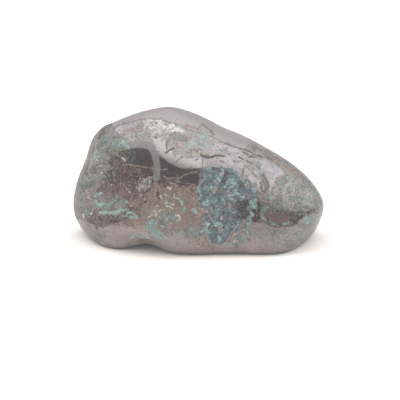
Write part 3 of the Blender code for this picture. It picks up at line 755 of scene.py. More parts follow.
# %% White flecks
MARKS["white"] = [
    (0.14, 4.4, 12.8, 4.6, 12.9), (0.12, 4.3, 11.9), (0.12, 6.6, 11.4, 6.8, 11.1), (0.1, 5.4, 10.5),
    (0.12, 8.9, 8.6), (0.12, 1.1, 7.3), (0.12, 4.7, 4.6, 4.8, 4.3), (0.1, 6.5, 4.2),
    (0.14, 1.8, 3.3, 2.2, 3.2), (0.1, 3.5, 3.1), (0.08, 1.7, 2.2), (0.12, 7.3, 8.0),
    (0.1, 7.0, 5.5, 6.9, 5.3), (0.08, 7.8, 9.3), (0.1, 7.2, -0.3), (0.1, -21.0, 16.2, -20.7, 16.0),
    (0.09, -20.3, 16.8, -20.6, 16.5), (0.18, -19.7, 13.3),
    (0.12, -15.2, 16.4, -14.8, 16.2, -14.5, 15.8), (0.16, -6.0, 10.4, -5.6, 10.2),
    (0.12, -7.6, 8.8, -7.3, 8.3), (0.1, -10.7, 8.2, -10.8, 7.9), (0.14, -23.2, 4.9, -23.1, 4.4),
    (0.1, -21.4, 5.4, -21.5, 5.1), (0.1, -19.5, 5.3), (0.1, -14.0, 9.5, -13.9, 9.3),
    (0.12, -17.5, 10.9), (0.1, -11.8, 9.0, -11.6, 8.8), (0.08, -16.0, 6.6),
    (0.09, -5.6, 7.1, -4.9, 6.9), (0.09, -6.3, 6.7, -5.8, 6.6, -5.0, 6.2), (0.1, -8.2, 6.8, -7.9, 6.6),
    (0.12, -8.9, 5.7, -8.4, 5.2, -8.3, 5.0), (0.12, -7.8, 5.6, -7.4, 5.8), (0.08, -6.9, 5.8),
    (0.12, -9.9, 4.1, -9.8, 4.5, -9.4, 4.6), (0.1, -8.6, 4.7, -8.3, 4.4), (0.09, -7.8, 4.6),
    (0.12, -4.4, 4.9, -4.0, 5.0, -3.6, 4.6, -3.6, 4.1), (0.08, -6.2, 4.4, -6.1, 4.0),
    (0.08, -5.4, 3.5, -5.0, 3.1), (0.08, -5.7, 0.8), (0.08, -4.8, 1.1), (0.08, -13.8, 0.0, -13.3, 0.0),
    (0.08, -11.9, 0.2, -11.3, -0.1), (0.08, -10.8, -0.2, -9.8, -0.2), (0.08, 19.9, 9.7),
    (0.1, 22.8, 10.8), (0.08, -4.8, 8.7, -4.8, 9.1), (0.1, 21.6, 5.0), (0.08, 0.7, 6.1),
    (0.08, -1.1, 8.1, -0.9, 8.1), (0.08, 0.2, 17.5, 0.4, 17.7), (0.08, -3.2, 6.0), (0.08, -13.6, 6.7),
    (0.08, -14.1, 5.8),
]
print("white flecks:", len(MARKS["white"]))

# %% [markdown]
# ## Marks: cracks, hairlines and veins
#
# A crack is open and dark, a hairline is a healed crack, and a vein is a crack
# that a paler mineral filled. All three are long thin strokes. They are kept at
# least as wide as the net's squares, because a thinner line would break up.

# %% Cracks, hairlines and veins
MARKS["crack"] = [
    (0.15, 0.6, 17.1, 1.0, 16.7, 1.6, 16.5, 2.4, 16.4, 3.0, 16.7, 3.6, 16.9, 4.2, 16.8, 4.6, 16.7, 5.2, 16.6),
    (0.17, -6.5, 17.3, -6.0, 17.8), (0.15, -6.0, 17.8, -5.4, 18.1, -5.0, 18.3),
    (0.21, 13.2, 12.8, 13.7, 12.3, 14.1, 11.6, 14.4, 11.2, 14.4, 10.5),
    (0.18, 5.7, 19.3, 6.8, 19.0, 8.0, 18.6, 9.2, 18.2, 10.4, 17.8, 11.6, 17.2, 13.0, 16.6),
    (0.12, -6.3, 19.6, -6.4, 19.2, -6.3, 18.7, -6.3, 18.2), (0.15, 9.1, 17.5, 9.6, 17.3, 10.2, 16.9),
    (0.15, 10.4, 16.7, 11.0, 16.7, 11.6, 16.5), (0.13, 8.2, 16.5, 9.0, 16.1),
    (0.12, 9.6, 15.9, 10.4, 15.5, 11.0, 15.2),
    (0.15, 12.7, 11.4, 13.0, 10.8, 12.8, 10.2, 13.2, 9.6, 13.5, 9.3), (0.12, -8.4, 20.3, -8.2, 20.4),
    (0.08, -16.1, 21.8),
]
MARKS["hair"] = [
    (0.15, 11.8, 7.7, 12.9, 7.3, 14.1, 7.1, 14.9, 6.6, 15.1, 6.0),
    (0.17, 14.1, 5.9, 14.9, 5.8, 16.5, 5.7, 18.1, 5.6, 19.9, 5.5, 21.1, 5.5),
    (0.15, 12.9, 3.9, 13.5, 3.4, 14.1, 3.0, 14.9, 2.7, 16.9, 2.8, 18.5, 2.7, 19.0, 3.1),
    (0.14, -22.1, 3.4, -20.7, 3.2, -18.5, 3.2, -17.3, 3.4), (0.1, 0.9, 16.7, 0.9, 14.7, 1.0, 12.5),
    (0.09, -5.4, 18.1, -4.9, 18.4), (0.1, -4.7, 15.4, -4.0, 15.9, -3.2, 16.5),
    (0.14, -0.2, 22.4, 0.4, 22.8, 0.8, 23.3, 1.6, 22.8, 2.2, 22.4),
    (0.14, 2.3, 22.3, 3.0, 21.6, 3.3, 21.3), (0.09, 0.5, 17.9, 0.1, 18.2), (0.16, 9.1, 14.1, 9.0, 12.7),
    (0.08, 12.1, 9.9, 12.4, 9.3), (0.08, -17.3, 12.7, -16.9, 11.5), (0.08, -22.1, 12.3, -20.9, 11.9),
    (0.08, -22.9, 9.9, -22.5, 8.3, -22.8, 6.9),
    (0.15, -18.7, 22.4, -19.4, 21.8, -20.0, 21.0, -20.4, 20.4),
    (0.12, -21.0, 19.4, -21.5, 18.0, -21.9, 16.5),
]
MARKS["vein"] = [
    (0.08, -14.4, 15.1, -12.7, 14.9, -11.8, 14.7, -9.4, 14.4, -7.5, 13.9, -6.0, 14.1),
    (0.1, -7.0, 12.8, -6.4, 12.3, -5.0, 12.4, -3.9, 12.2, -2.7, 12.9, -1.5, 13.3, 0.0, 13.5),
    (0.08, -4.2, 12.9, -3.9, 12.2), (0.08, -15.2, 11.1, -14.5, 10.1, -13.9, 9.3),
    (0.08, -11.8, 8.5, -11.0, 9.6, -10.0, 10.3), (0.08, 11.3, 9.5, 10.2, 8.9, 9.5, 8.1),
    (0.08, -17.3, 18.0, -16.3, 16.9, -15.5, 16.4), (0.08, -16.1, 15.9, -15.9, 15.3),
    (0.08, -12.2, 11.7, -11.8, 12.3), (0.08, -18.2, 11.9, -18.1, 11.1),
]
print("lines:", sum(len(MARKS[name]) for name in ("crack", "hair", "vein")))

# %% [markdown]
# ## Zones for the smallest marks
#
# Some marks are too many to draw: the green bloom, the pale and dark curls at
# the ends, and the grain that the brightest places lack. Each kind gets a few
# ovals to crowd in, and noise in the finish makes the marks themselves.

# %% Ovals: middle, half-widths, tilt
BLOOM_OVALS = [
    ((-20.3, 18.0), (2.4, 2.4), 0), ((-19.7, 7.3), (1.6, 2.0), 0), ((-5.2, 4.5), (2.0, 1.2), 10),
    ((-1.6, 1.5), (2.2, 1.4), 0), ((20.9, 10.3), (3.4, 4.8), 0), ((12.9, 13.9), (1.0, 1.0), 0),
    ((22.9, 5.5), (1.6, 2.0), 0), ((14.9, 1.9), (2.8, 1.2), 6), ((-22.1, 10.7), (1.0, 2.4), 0),
    ((-19.5, 0.7), (1.2, 1.0), 0), ((-8.4, 0.7), (1.2, 0.8), 0), ((1.2, 19.2), (1.2, 1.2), 0),
    ((-16.7, 7.1), (1.8, 1.6), 0), ((18.9, 0.3), (2.4, 1.4), 20), ((14.5, 6.7), (2.8, 0.8), 5),
]
CURL_OVALS = [
    ((-8.8, 4.9), (1.6, 1.2), 0), ((-5.4, 4.7), (2.0, 1.0), 10), ((-5.6, 1.5), (1.2, 0.8), 0),
    ((20.5, 9.9), (3.6, 4.8), 0), ((15.7, 1.5), (4.4, 1.6), 8), ((-19.1, 13.5), (2.4, 1.6), 0),
    ((16.1, 6.3), (4.0, 0.8), 5), ((7.8, 1.5), (2.0, 2.0), 0), ((-19.7, 0.7), (1.6, 1.4), 0),
    ((-9.6, 22.0), (3.6, 1.6), 0), ((1.6, 22.0), (2.0, 1.0), -10), ((10.4, 16.7), (2.4, 1.0), -25),
    ((-22.1, 9.9), (1.4, 3.6), 0), ((-16.5, 7.5), (2.0, 1.4), 0),
]
BRIGHT_OVALS = [
    ((-7.4, 19.2), (1.2, 1.4), -40), ((-5.2, 16.5), (1.8, 1.0), -35), ((-2.4, 15.9), (3.0, 1.0), -8),
    ((1.8, 16.1), (2.8, 1.0), 5), ((6.4, 15.9), (2.8, 0.8), 0), ((3.0, 18.4), (1.4, 0.8), -10),
    ((-14.1, 23.0), (2.2, 0.8), -8), ((-16.1, 22.0), (0.8, 1.0), 0), ((-8.6, 22.8), (2.4, 1.0), -8),
    ((-4.6, 22.2), (2.0, 0.6), -15), ((7.6, 18.0), (2.6, 0.8), -20), ((10.0, 16.3), (1.8, 0.8), -25),
    ((11.0, 12.7), (0.8, 1.2), 20), ((12.0, 10.3), (0.6, 1.0), 0), ((-9.6, 21.8), (1.6, 0.8), 0),
]
print("ovals:", len(BLOOM_OVALS) + len(CURL_OVALS) + len(BRIGHT_OVALS))

# %% [markdown]
# ## From drawings to fields
#
# Where several shapes of one kind overlap, the deepest one counts, so a field
# is the largest of their depths. The far side has no drawing. There a field
# fades over to noise of the same scale, which makes patches of the same kind.

# %% Turn drawings into depths
HAIRLINE = 0.1  # half-width of the winding lines on the far side
HAIRLINE_RIPPLE = 0.3


def drawn_ovals(ovals):
    """Depth inside the nearest of several ovals."""
    return np.max([oval_depth(ragged, *oval) for oval in ovals], axis=0)


def drawn_strokes(strokes, spots):
    """Depth inside the nearest of several strokes: half-width - distance."""
    return np.max([stroke[0] - stroke_distance(spots, np.reshape(stroke[1:], (-1, 2)))
                   for stroke in strokes], axis=0)


def near_only(depth, elsewhere=-1.0):
    """Keep a drawn field on the near side, and use another value or field on the far side."""
    return near_side * depth + (1.0 - near_side) * elsewhere


def hairlines(size, seed, zone):
    """Depth inside winding hairlines, where a noise of size-mm lumps passes zero, within a zone."""
    beside = 0.5 * size * np.abs(lattice_noise(form + HAIRLINE_RIPPLE * wobble[:, [0, 1, 0]], size, seed))
    return np.minimum(HAIRLINE - beside, zone)


print("share of the stone with drawings:", round(near_side.mean(), 2))

# %% [markdown]
# ## Distances to the lines
#
# The ledge, the foot and the matte ends are lines across the plan, so their
# fields are plain distances: how far above or beside the line a point lies. The
# dull band over the ledge also needs a right and a back end. Noise lets both
# wander, because a straight end would look cut with a knife.

# %% How far each point lies past the drawn lines
THIN_RIPPLE = 0.1  # small marks are torn less than patches
LEDGE_RIPPLE = 0.12
BAND_BACK = 7.0  # the Y where the dull band ends at the back
BLEND_LEFT, BLEND_TOP, BLEND_FADE = -14.5, 5.5, 3.0  # the corner where the tarnish's lower edge goes soft

across, up = ragged.T
thin = place + THIN_RIPPLE * wobble
line_x, line_up = np.array(LEDGE).T
foot_x, foot_up = np.array(FOOT_LINE).T
left_up, left_x = np.array(LEFT_LINE).T
right_up, right_x = np.array(RIGHT_LINE).T

above_ledge = place[:, 1] + LEDGE_RIPPLE * wobble[:, 0] - np.interp(place[:, 0], line_x, line_up)
past_ledge = np.minimum(line_x[-1] - across, across - line_x[0])
below_foot = np.interp(across, foot_x, foot_up) - up
left_end = np.interp(up, left_up, left_x) - across
right_end = across - np.interp(up, right_up, right_x)
right_rim = 0.8 * past_ledge + 1.5 + 1.2 * rough_noise(form, size=3.0, seed=94)  # where the dull band ends
back_rim = BAND_BACK - form[:, 1] + 2.2 * rough_noise(form, size=3.4, seed=92)  # and where at the back
blend_low = soft_step((across - BLEND_LEFT) / BLEND_FADE) * soft_step((BLEND_TOP - up) / BLEND_FADE)
print("points over the ledge:", int((above_ledge > 0).sum()))

# %% [markdown]
# ## The far side
#
# The back has the same minerals as the front, in patches of the same size.
# Noise with large lumps makes the patches, and clusters decide where small
# marks crowd together, because real flecks follow the pores of the ore. The
# number taken off a noise says how rare its patches are, and the number in
# front turns it into millimetres of depth.

# %% Noise that stands in for drawings
clusters = rough_noise(form, size=8.0, seed=69)
far_ends = 4.0 * rough_noise(form, size=9.0, seed=64)
far_tarnish = 5.0 * (rough_noise(form, size=11.0, seed=61) - 0.16)
far_crust = 2.0 * (rough_noise(form, size=6.0, seed=71) - 0.8)
far_blots = 1.5 * (rough_noise(form, size=3.0, seed=66, layers=4) - 0.35)
far_green = 1.3 * (rough_noise(form, size=1.7, seed=67, layers=4) + 0.7 * clusters - 0.8)
far_flecks = far_green - 0.35 + 0.3 * rough_noise(form, size=0.8, seed=77, layers=2)
print("far side with tarnish:", round(np.mean(far_tarnish[near_side < 0.5] > 0), 2))

# %% [markdown]
# ## The fields
#
# Now each patch becomes one field, with its drawing on the near side and its
# noise on the far side. Where two drawings make one patch, the larger depth
# counts. Where a patch must stay within two limits, the smaller one counts.

# %% Fields of the patches
RIM_AND_REFLECTION_HALF = 0.7  # half-width of the grey rim
RIM_AND_REFLECTION_RIPPLE = 0.06
# half-width of the painted highlight along the edge over the middle mirror
PAINTED_HIGHLIGHT_EDGE_HALF = 1.0
TAN_LEFT, TAN_SLANT, TAN_TOP = -14.7, 0.5, 10.6  # the tan lies low, right of a slanting line
GREY_PATCH = ((-10.9, 11.1), (1.9, 0.9), 38)  # a worn grey oval in the tarnish: middle, half-widths, tilt

dull_band = np.minimum(np.minimum(above_ledge, right_rim), back_rim)
mirrors = np.maximum(outline_depth(place, LEFT_MIRROR), outline_depth(place, MIDDLE_MIRROR))
shade_and_reflection_bands = np.maximum(outline_depth(thin, LEFT_SHADE_BAND), outline_depth(thin, RIGHT_REFLECTION_BAND))
bright = np.maximum(drawn_ovals(BRIGHT_OVALS), outline_depth(ragged, LIGHT_FLAT))
tan_zone = np.minimum((across - TAN_LEFT - TAN_SLANT * up) / 2.0, (TAN_TOP - up) / 2.0)
fields = {
    "dull": near_only(dull_band, 3.0 * clusters - 0.2),
    "foot": near_only(below_foot, 2.2 - form[:, 2]),
    "ends": near_only(np.maximum(left_end, right_end), far_ends),
    "lilac": near_only(across / 4.0, far_tarnish),
    "tarnish": near_only(outline_depth(ragged, TARNISH) * (1.0 - 0.7 * blend_low), far_tarnish),
    "tan": near_only(tan_zone, far_tarnish - 1.5),
    # painted dark reflections of the dim room, on bare ore
    "mirror": near_only(mirrors),
    # the rim: partly grey ore, partly a painted reflection of light along the rib
    "rim": near_only(RIM_AND_REFLECTION_HALF - stroke_distance(place + RIM_AND_REFLECTION_RIPPLE * wobble, RIM_AND_REFLECTION)),
    # painted dark bands: shade on the left, a reflection of the dim room on the right
    "band": near_only(shade_and_reflection_bands),
    "window": near_only(outline_depth(thin, WINDOW)),
    "crust": near_only(outline_depth(ragged, CRUST), far_crust),
    "patch": near_only(oval_depth(ragged, *GREY_PATCH)),
    # painted highlights: the cream patch under the ledge and the pale edge over the middle mirror
    "cream": near_only(outline_depth(ragged, PAINTED_HIGHLIGHT)),
    "painted_highlight_edge": near_only(PAINTED_HIGHLIGHT_EDGE_HALF - stroke_distance(ragged, PAINTED_HIGHLIGHT_EDGE)),
    "bloom": near_only(drawn_ovals(BLOOM_OVALS), 2.0 * clusters),
    "curl": near_only(drawn_ovals(CURL_OVALS), 2.0 * clusters),
    "bright": near_only(bright, -far_ends),
}
print("patches:", ", ".join(fields))

# %% [markdown]
# ## Fields of the marks
#
# The marks work in the same way, one field for each kind. The ones on the far
# side come from the clustered noise. The green wedge and the large fold are
# outlines, so they join the strokes of their own kind.

# %% Fields of the marks
far_marks = {
    "brown": far_blots - 0.2,
    "grey": -far_blots - 0.6,
    "slate": far_green - 0.35,
    "teal": far_green,
    "mint": far_flecks,
    "white": far_flecks - 0.7,
    "pink": far_green - 0.2 + 0.3 * wobble[:, 0],
    "vein": hairlines(size=7.0, seed=73, zone=2.0 * clusters),
    "crack": hairlines(size=9.0, seed=75, zone=far_ends - 0.3),
}
for name, strokes in MARKS.items():
    fields[name] = near_only(drawn_strokes(strokes, thin), far_marks.get(name, -1.0))
fields["teal"] = np.maximum(fields["teal"], near_only(outline_depth(thin, GREEN_WEDGE)))
fields["fold"] = np.maximum(fields["fold"], near_only(outline_depth(thin, FOLD)))
for name, values in fields.items():
    print(f"field {name}: {100 * np.mean(values > 0):.1f}% of the points lie inside")

# %% [markdown]
# ## Fine relief
#
# Now the small heights: the dull band lies a little below the polish, along a
# ledge with a thin crack, the crust stands proud and lumpy, the flecks are
# slightly raised and the cracks and pits are cut in. Doing this in the mesh,
# and not only in the finish, keeps it when the model leaves Blender.

# %% The lumps of the crust
CRUST_MIDDLE = (5.4, 6.6)  # the oval that the lumps lie in: its middle and half-widths on the plan
CRUST_REACH = (5.4, 7.6)
CRUST_SEED = 11
CRUST_LUMPS = 34
CRUST_LUMP_REACH = (0.7, 1.3)  # the narrowest and the widest
CRUST_LUMP_RISE = (0.08, 0.22)


def crust_lumps(place):
    """Seeded soft bells inside the oval that the crust fills: the sum of rise * exp(-distance ** 2)."""
    dice = np.random.default_rng(CRUST_SEED)
    height = np.zeros(len(place))
    for _ in range(CRUST_LUMPS):
        turn, out = dice.uniform(0.0, 2.0 * math.pi), math.sqrt(dice.uniform(0.0, 0.9))
        lump = np.array(CRUST_MIDDLE) + out * np.array(CRUST_REACH) * (math.cos(turn), math.sin(turn))
        reach, rise = dice.uniform(*CRUST_LUMP_REACH), dice.uniform(*CRUST_LUMP_RISE)
        height += rise * np.exp(-(np.linalg.norm(place - lump, axis=1) / reach) ** 2)
    return height


lumps = crust_lumps(place)
print("crust lumps, mm:", round(lumps.min(), 2), "to", round(lumps.max(), 2))

# %% [markdown]
# ## Adding up the small heights
#
# Each height is a soft step of a field, so it grows from nothing at the edge of
# its patch, over a width of its own. They simply add up, because they are all
# thin next to the stone.

# %% Ledge, crust, flecks, cuts and rubble
LEDGE_DROP = 0.22  # how far the dull band lies below the polish
LEDGE_WIDTH = 0.4
LEDGE_FADE = 2.0  # how far the ledge takes to fade out at its two ends
LEDGE_BACK, BACK_FADE = 9.0, 4.0  # the Y where it is gone at the back, and how far that takes
CRUST_RISE = 0.2
CRUST_WIDTH = 0.35
CRUST_GRAIN = 0.1
FLECK_RISE = 0.05
FLECK_WIDTH = 0.25
CRACK_DEPTH = 0.14
CRACK_WIDTH = 0.1
FOLD_DEPTH = 0.04
FOLD_WIDTH = 0.2
RUBBLE = 0.03  # the unevenness of the tarnish

band = soft_step(above_ledge / LEDGE_WIDTH + 0.5) * soft_step(past_ledge / LEDGE_FADE + 0.5)
ledge = -LEDGE_DROP * band * soft_step((LEDGE_BACK - form[:, 1]) / BACK_FADE)
in_crust = soft_step(fields["crust"] / CRUST_WIDTH)
crust = in_crust * (CRUST_RISE + lumps + CRUST_GRAIN * rough_noise(form, size=0.9, seed=81))
flecks = FLECK_RISE * soft_step(np.maximum(fields["teal"], fields["mint"]) / FLECK_WIDTH)
cracks = CRACK_DEPTH * soft_step(fields["crack"] / CRACK_WIDTH + 0.6)
cuts = -cracks - FOLD_DEPTH * soft_step(fields["fold"] / FOLD_WIDTH + 0.2)
rubble = RUBBLE * rough_noise(form, size=1.3, seed=85) * soft_step(fields["tarnish"] + 0.5)
fine = ledge + crust + flecks + cuts + rubble
print("fine relief, mm:", round(fine.min(), 2), "to", round(fine.max(), 2))

# %% [markdown]
# ## The base
#
# The stone rests on a flat that wear has rounded at its edge. A plain cut would
# leave a knife edge there, so the heights near the table are bent smoothly to
# zero. Beside the left foot the edge lifts off the table a little, and a dark
# gap shows under it.

# %% Level the base
FOOT_ROUND = 1.0  # how high above the table the lower edge starts to turn under
HOLLOW_MIDDLE = -10.3  # the X of the gap beside the left foot
HOLLOW_WIDTH = 3.4
HOLLOW_RISE = 0.6
HOLLOW_FADE = 5.0  # how far it takes to fade out to the back and upwards


def level_base(heights):
    """0 below -FOOT_ROUND, the height itself above FOOT_ROUND, and between them
    (height + FOOT_ROUND) ** 2 / (4 * FOOT_ROUND), which meets both smoothly."""
    turned = (heights + FOOT_ROUND) ** 2 / (4.0 * FOOT_ROUND)
    return np.where(heights > FOOT_ROUND, heights, np.where(heights < -FOOT_ROUND, 0.0, turned))


def foot_hollow(points):
    """How far the lower edge lifts off the table beside the left foot: the rise, times
    exp(-((x - middle) / width) ** 2), times a step that keeps it in front and one that keeps it low."""
    hump = np.exp(-((points[:, 0] - HOLLOW_MIDDLE) / HOLLOW_WIDTH) ** 2)
    in_front = soft_step(-points[:, 1] / HOLLOW_FADE - 0.2)
    low = 1.0 - soft_step(points[:, 2] / HOLLOW_FADE)
    return HOLLOW_RISE * hump * in_front * low


points = ways * (radius + broad + fine)[:, None] + np.array(CORE)
points[:, 2] = level_base(points[:, 2])
points[:, 2] += foot_hollow(points)
print("points on the table:", int((points[:, 2] <= 0.0).sum()))

# %% [markdown]
# ## The mesh
#
# The stone is centred over the origin, and its points and quads go into a mesh
# as whole arrays. Every field becomes an attribute of the mesh, a number kept
# at each point, which the finish can read. The new skin then takes the place of
# the solid's node.

# %% Build the stone
FIELD_LIMIT = 12.0  # no finish looks deeper into a patch than this


def make_mesh(name, points, quads, fields):
    """A mesh from arrays: points, the quads that join them, and one number per point and field."""
    mesh = bpy.data.meshes.new(name)
    mesh.vertices.add(len(points))
    mesh.vertices.foreach_set("co", np.ascontiguousarray(points, np.float32).ravel())
    mesh.loops.add(quads.size)
    mesh.loops.foreach_set("vertex_index", quads.astype(np.int32).ravel())
    mesh.polygons.add(len(quads))
    mesh.polygons.foreach_set("loop_start", np.arange(0, quads.size, 4, dtype=np.int32))
    mesh.update(calc_edges=True)
    mesh.validate()
    mesh.shade_smooth()
    for field, values in fields.items():
        layer = mesh.attributes.new(field, "FLOAT", "POINT")
        layer.data.foreach_set("value", np.clip(values, -FIELD_LIMIT, FIELD_LIMIT).astype(np.float32))
    return mesh


middle = (points.min(axis=0) + points.max(axis=0)) / 2.0
shift = np.array([middle[0], middle[1], 0.0])  # from the drawing's middle to the box's middle
skin = make_mesh("polished_stone", (points - shift) * MM, quads, fields)
stone = bpy.data.objects.new("polished_stone", skin)
bpy.context.collection.objects.link(stone)
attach(stone, "root")
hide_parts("stone")
print("stone, mm:", np.round(points.max(axis=0) - points.min(axis=0), 2))

# %% [markdown]
# ## The finish
#
# One material paints the whole stone. It starts as polished grey ore and lays
# one mineral over another, each through a mask that is a field plus a little
# grain, cut to a crisp edge. Every layer carries a colour, a roughness and a
# share of metal. The patterns read object coordinates, so they are as fixed in
# the stone as real veins. Nodes could be placed by hand in the shader editor,
# but there are hundreds, so a few helpers add and wire them.

# %% A helper that adds a node
def add_node(tree, kind, inputs=(), **settings):
    """A node of a kind. Inputs are pairs of a socket and a number, a colour or an output."""
    node = tree.nodes.new(kind)
    for key, value in settings.items():
        setattr(node, key, value)
    for socket, value in dict(inputs).items():
        if isinstance(value, bpy.types.NodeSocket):
            tree.links.new(value, node.inputs[socket])
        else:
            node.inputs[socket].default_value = value
    return node


print("kinds of shader node:", sum(kind.startswith("ShaderNode") for kind in dir(bpy.types)))

# %% [markdown]
# ## The bench
#
# All the stone's nodes sit in one tree. A small class keeps that tree at hand
# and gives short names to what is done in it again and again. First come the
# plain steps: noise, sums, a soft step and a mix of two colours.

# %% The bench and its plain steps
SEED_STEP = (0.13, 0.07, 0.11)  # metres that a noise moves for each whole number of its seed
NOISE_ROUGHNESS = 0.55  # how strong a noise's finer layers are


class Bench:
    """A material's node tree, with short ways to add and wire its nodes."""

    def __init__(self, name):
        self.material = bpy.data.materials.new(name)
        self.material.use_nodes = True
        self.tree = self.material.node_tree
        self.shader = self.tree.nodes["Principled BSDF"]
        self.object_place = self.add("ShaderNodeTexCoord").outputs["Object"]

    def add(self, kind, inputs=(), **settings):
        """A node of a kind on this bench."""
        return add_node(self.tree, kind, inputs, **settings)

    def noise(self, size, detail=3.0, seed=0.0):
        """Noise around 0.5, with lumps about size mm wide. The seed shifts it to another place."""
        spot = self.add("ShaderNodeMapping", {"Vector": self.object_place,
                                              "Location": tuple(seed * step for step in SEED_STEP)})
        return self.add("ShaderNodeTexNoise", {"Vector": spot.outputs[0], "Scale": 1.0 / (size * MM),
                                               "Detail": detail, "Roughness": NOISE_ROUGHNESS}).outputs["Fac"]

    def sum(self, first, second, scale=1.0, less=0.0):
        """first + scale * (second - less)."""
        shifted = self.add("ShaderNodeMath", {0: second, 1: less}, operation="SUBTRACT").outputs[0]
        return self.add("ShaderNodeMath", {0: shifted, 1: scale, 2: first},
                        operation="MULTIPLY_ADD").outputs[0]

    def times(self, first, second):
        """first * second."""
        return self.add("ShaderNodeMath", {0: first, 1: second}, operation="MULTIPLY").outputs[0]

    def clamp(self, value, low, high):
        """The value, kept between low and high."""
        return self.add("ShaderNodeClamp", {"Value": value, "Min": low, "Max": high}).outputs[0]

    def step(self, value, low, high):
        """0 below low, 1 above high, and a smooth S between them."""
        return self.add("ShaderNodeMapRange", {"Value": value, "From Min": low, "From Max": high},
                        interpolation_type="SMOOTHSTEP").outputs["Result"]

    def field(self, name):
        """The mesh's field of that name, in mm."""
        return self.add("ShaderNodeAttribute", attribute_name=name).outputs["Fac"]

    def blend(self, mask, below, above):
        """A colour that is below where the mask is 0 and above where it is 1."""
        mix = self.add("ShaderNodeMix", {"Factor": mask}, data_type="RGBA")
        for socket, value in ((mix.inputs[6], below), (mix.inputs[7], above)):
            if isinstance(value, bpy.types.NodeSocket):
                self.tree.links.new(value, socket)
            else:
                socket.default_value = (*value, 1.0)
        return mix.outputs[2]


print("plain steps:", [name for name in vars(Bench) if not name.startswith("_")])

# %% [markdown]
# ## Masks and patterns
#
# On the plain steps rest the ones that make a stone: masks with a torn edge,
# blots, curls, grains, and the laying of one finish over another. They get a
# class of their own, which can still do all that the plain bench does.

# %% The bench for a stone
ZONE_LIMITS = (-1.5, 0.6)  # mm, how deep a zone still counts for the blots that crowd in it
LIGHT_SEED = 5.0  # added to a speckle's seed for its light grains


class StoneBench(Bench):
    """A bench with the masks and patterns of a stone."""

    def mask(self, name, grain=0.4, tear=0.5, soft=0.06, seed=0.0, grow=0.0, detail=3.0):
        """1 inside a field's patch, grown by some mm, with an edge torn by grain-sized noise."""
        torn = self.sum(self.field(name), self.noise(grain, detail, seed), tear, 0.5)
        return self.step(torn, -soft - grow, soft - grow)

    def mottle(self, size, level, seed, soft=0.025, detail=5.0):
        """Ragged blots about size mm wide. The higher the level, the fewer there are."""
        return self.step(self.noise(size, detail, seed), level - soft, level + soft)

    def curls(self, size, width, seed, level=0.5):
        """Thin winding lines: the places where a noise passes a level."""
        away = self.add("ShaderNodeMath", {0: self.noise(size, 3.0, seed), 1: level}, operation="SUBTRACT")
        gap = self.add("ShaderNodeMath", {0: away.outputs[0]}, operation="ABSOLUTE").outputs[0]
        return self.sum(1.0, self.step(gap, 0.3 * width, width), -1.0)

    def scatter(self, name, size, level, seed, pull=0.1):
        """Blots that crowd inside a field's zone and thin out beyond it."""
        zone = self.clamp(self.field(name), *ZONE_LIMITS)
        return self.step(self.sum(self.noise(size, 4.0, seed), zone, pull), level - 0.02, level + 0.03)

    def speckle(self, colour, dark, light, seed, cover=0.7, level=0.57, size=0.4):
        """Strew dark and light grains about half a size wide over a colour."""
        for grain, shift in ((dark, 0.0), (light, LIGHT_SEED)):
            dots = self.mottle(size, level, seed + shift, soft=0.03, detail=1.0)
            colour = self.blend(self.times(dots, cover), colour, grain)
        return colour

    def lay(self, stack, mask, colour, roughness, metal):
        """Lay a finish over a stack of (colour, roughness, metal) where the mask is 1."""
        values = [self.add("ShaderNodeMix", {"Factor": mask, 2: low, 3: high}).outputs[0]
                  for low, high in zip(stack[1:], (roughness, metal))]
        return (self.blend(mask, stack[0], colour), *values)


bench = StoneBench("chalcocite")
print("nodes on the new bench:", len(bench.tree.nodes))

# %% [markdown]
# ## Tones
#
# A tone is easiest to judge as screen values from 0 to 255, but a shader wants
# linear light. A power turns the one into the other. The studio is bright, so
# every tone is darkened a little on the way.

# %% Tones
STUDIO_SHARE = 0.8  # the studio is bright, so every tone is darkened to this share
SCREEN_CURVE = 2.2


def tone(red, green, blue):
    """Linear light from 0 to 255 screen values: share * (value / 255) ** curve."""
    return tuple(STUDIO_SHARE * (value / 255.0) ** SCREEN_CURVE for value in (red, green, blue))


print("a middle grey in linear light:", round(tone(128, 128, 128)[0], 3))

# %% [markdown]
# ## The grey ore
#
# Polished chalcocite is a lilac-grey metal. It could be one colour with low
# roughness, but real ore is mottled, and matte grey blots sit where the polish
# didn't take. The blots keep out of the brightest places, which were rubbed
# the most.

# %% The polished ore and its matte blots
POLISH_ROUGHNESS = 0.2
POLISH_METAL = 0.85  # the share of metal in the bare polished ore
BLOT_COVER = 0.85  # how much of the ore a blot hides

keep_out = bench.clamp(bench.field("bright"), low=-0.5, high=0.6)
blot = bench.step(bench.sum(bench.noise(size=1.2, detail=5.0, seed=1.0), keep_out, scale=-0.22),
                  low=0.47, high=0.55)
ore = bench.blend(bench.mottle(size=1.4, level=0.5, seed=45.0, soft=0.1, detail=3.0),
                  tone(150, 144, 147), tone(161, 155, 158))
ore = bench.blend(bench.times(bench.mottle(size=0.5, level=0.6, seed=50.0, soft=0.02, detail=2.0), 0.6),
                  ore, tone(128, 122, 122))
matte_blot = bench.speckle(tone(148, 144, 142), tone(110, 104, 100), tone(169, 165, 165), seed=52.0,
                           cover=0.6, level=0.57)
stack = (bench.blend(bench.times(blot, BLOT_COVER), ore, matte_blot), POLISH_ROUGHNESS, POLISH_METAL)
stack = bench.lay(stack, bench.times(blot, BLOT_COVER), stack[0], roughness=0.34, metal=0.7)
print("nodes after the ore:", len(bench.tree.nodes))

# %% [markdown]
# ## The painted highlight and the fine cracks in it
#
# Under the ledge sits a painted highlight: a paler, nearly white layer with a
# little noise in it, which does more than a stronger lamp, because it stays there
# from every side. The pale edge over the middle mirror is a painted highlight
# too. Short winding cracks and pits break it up, as they do in old ore.

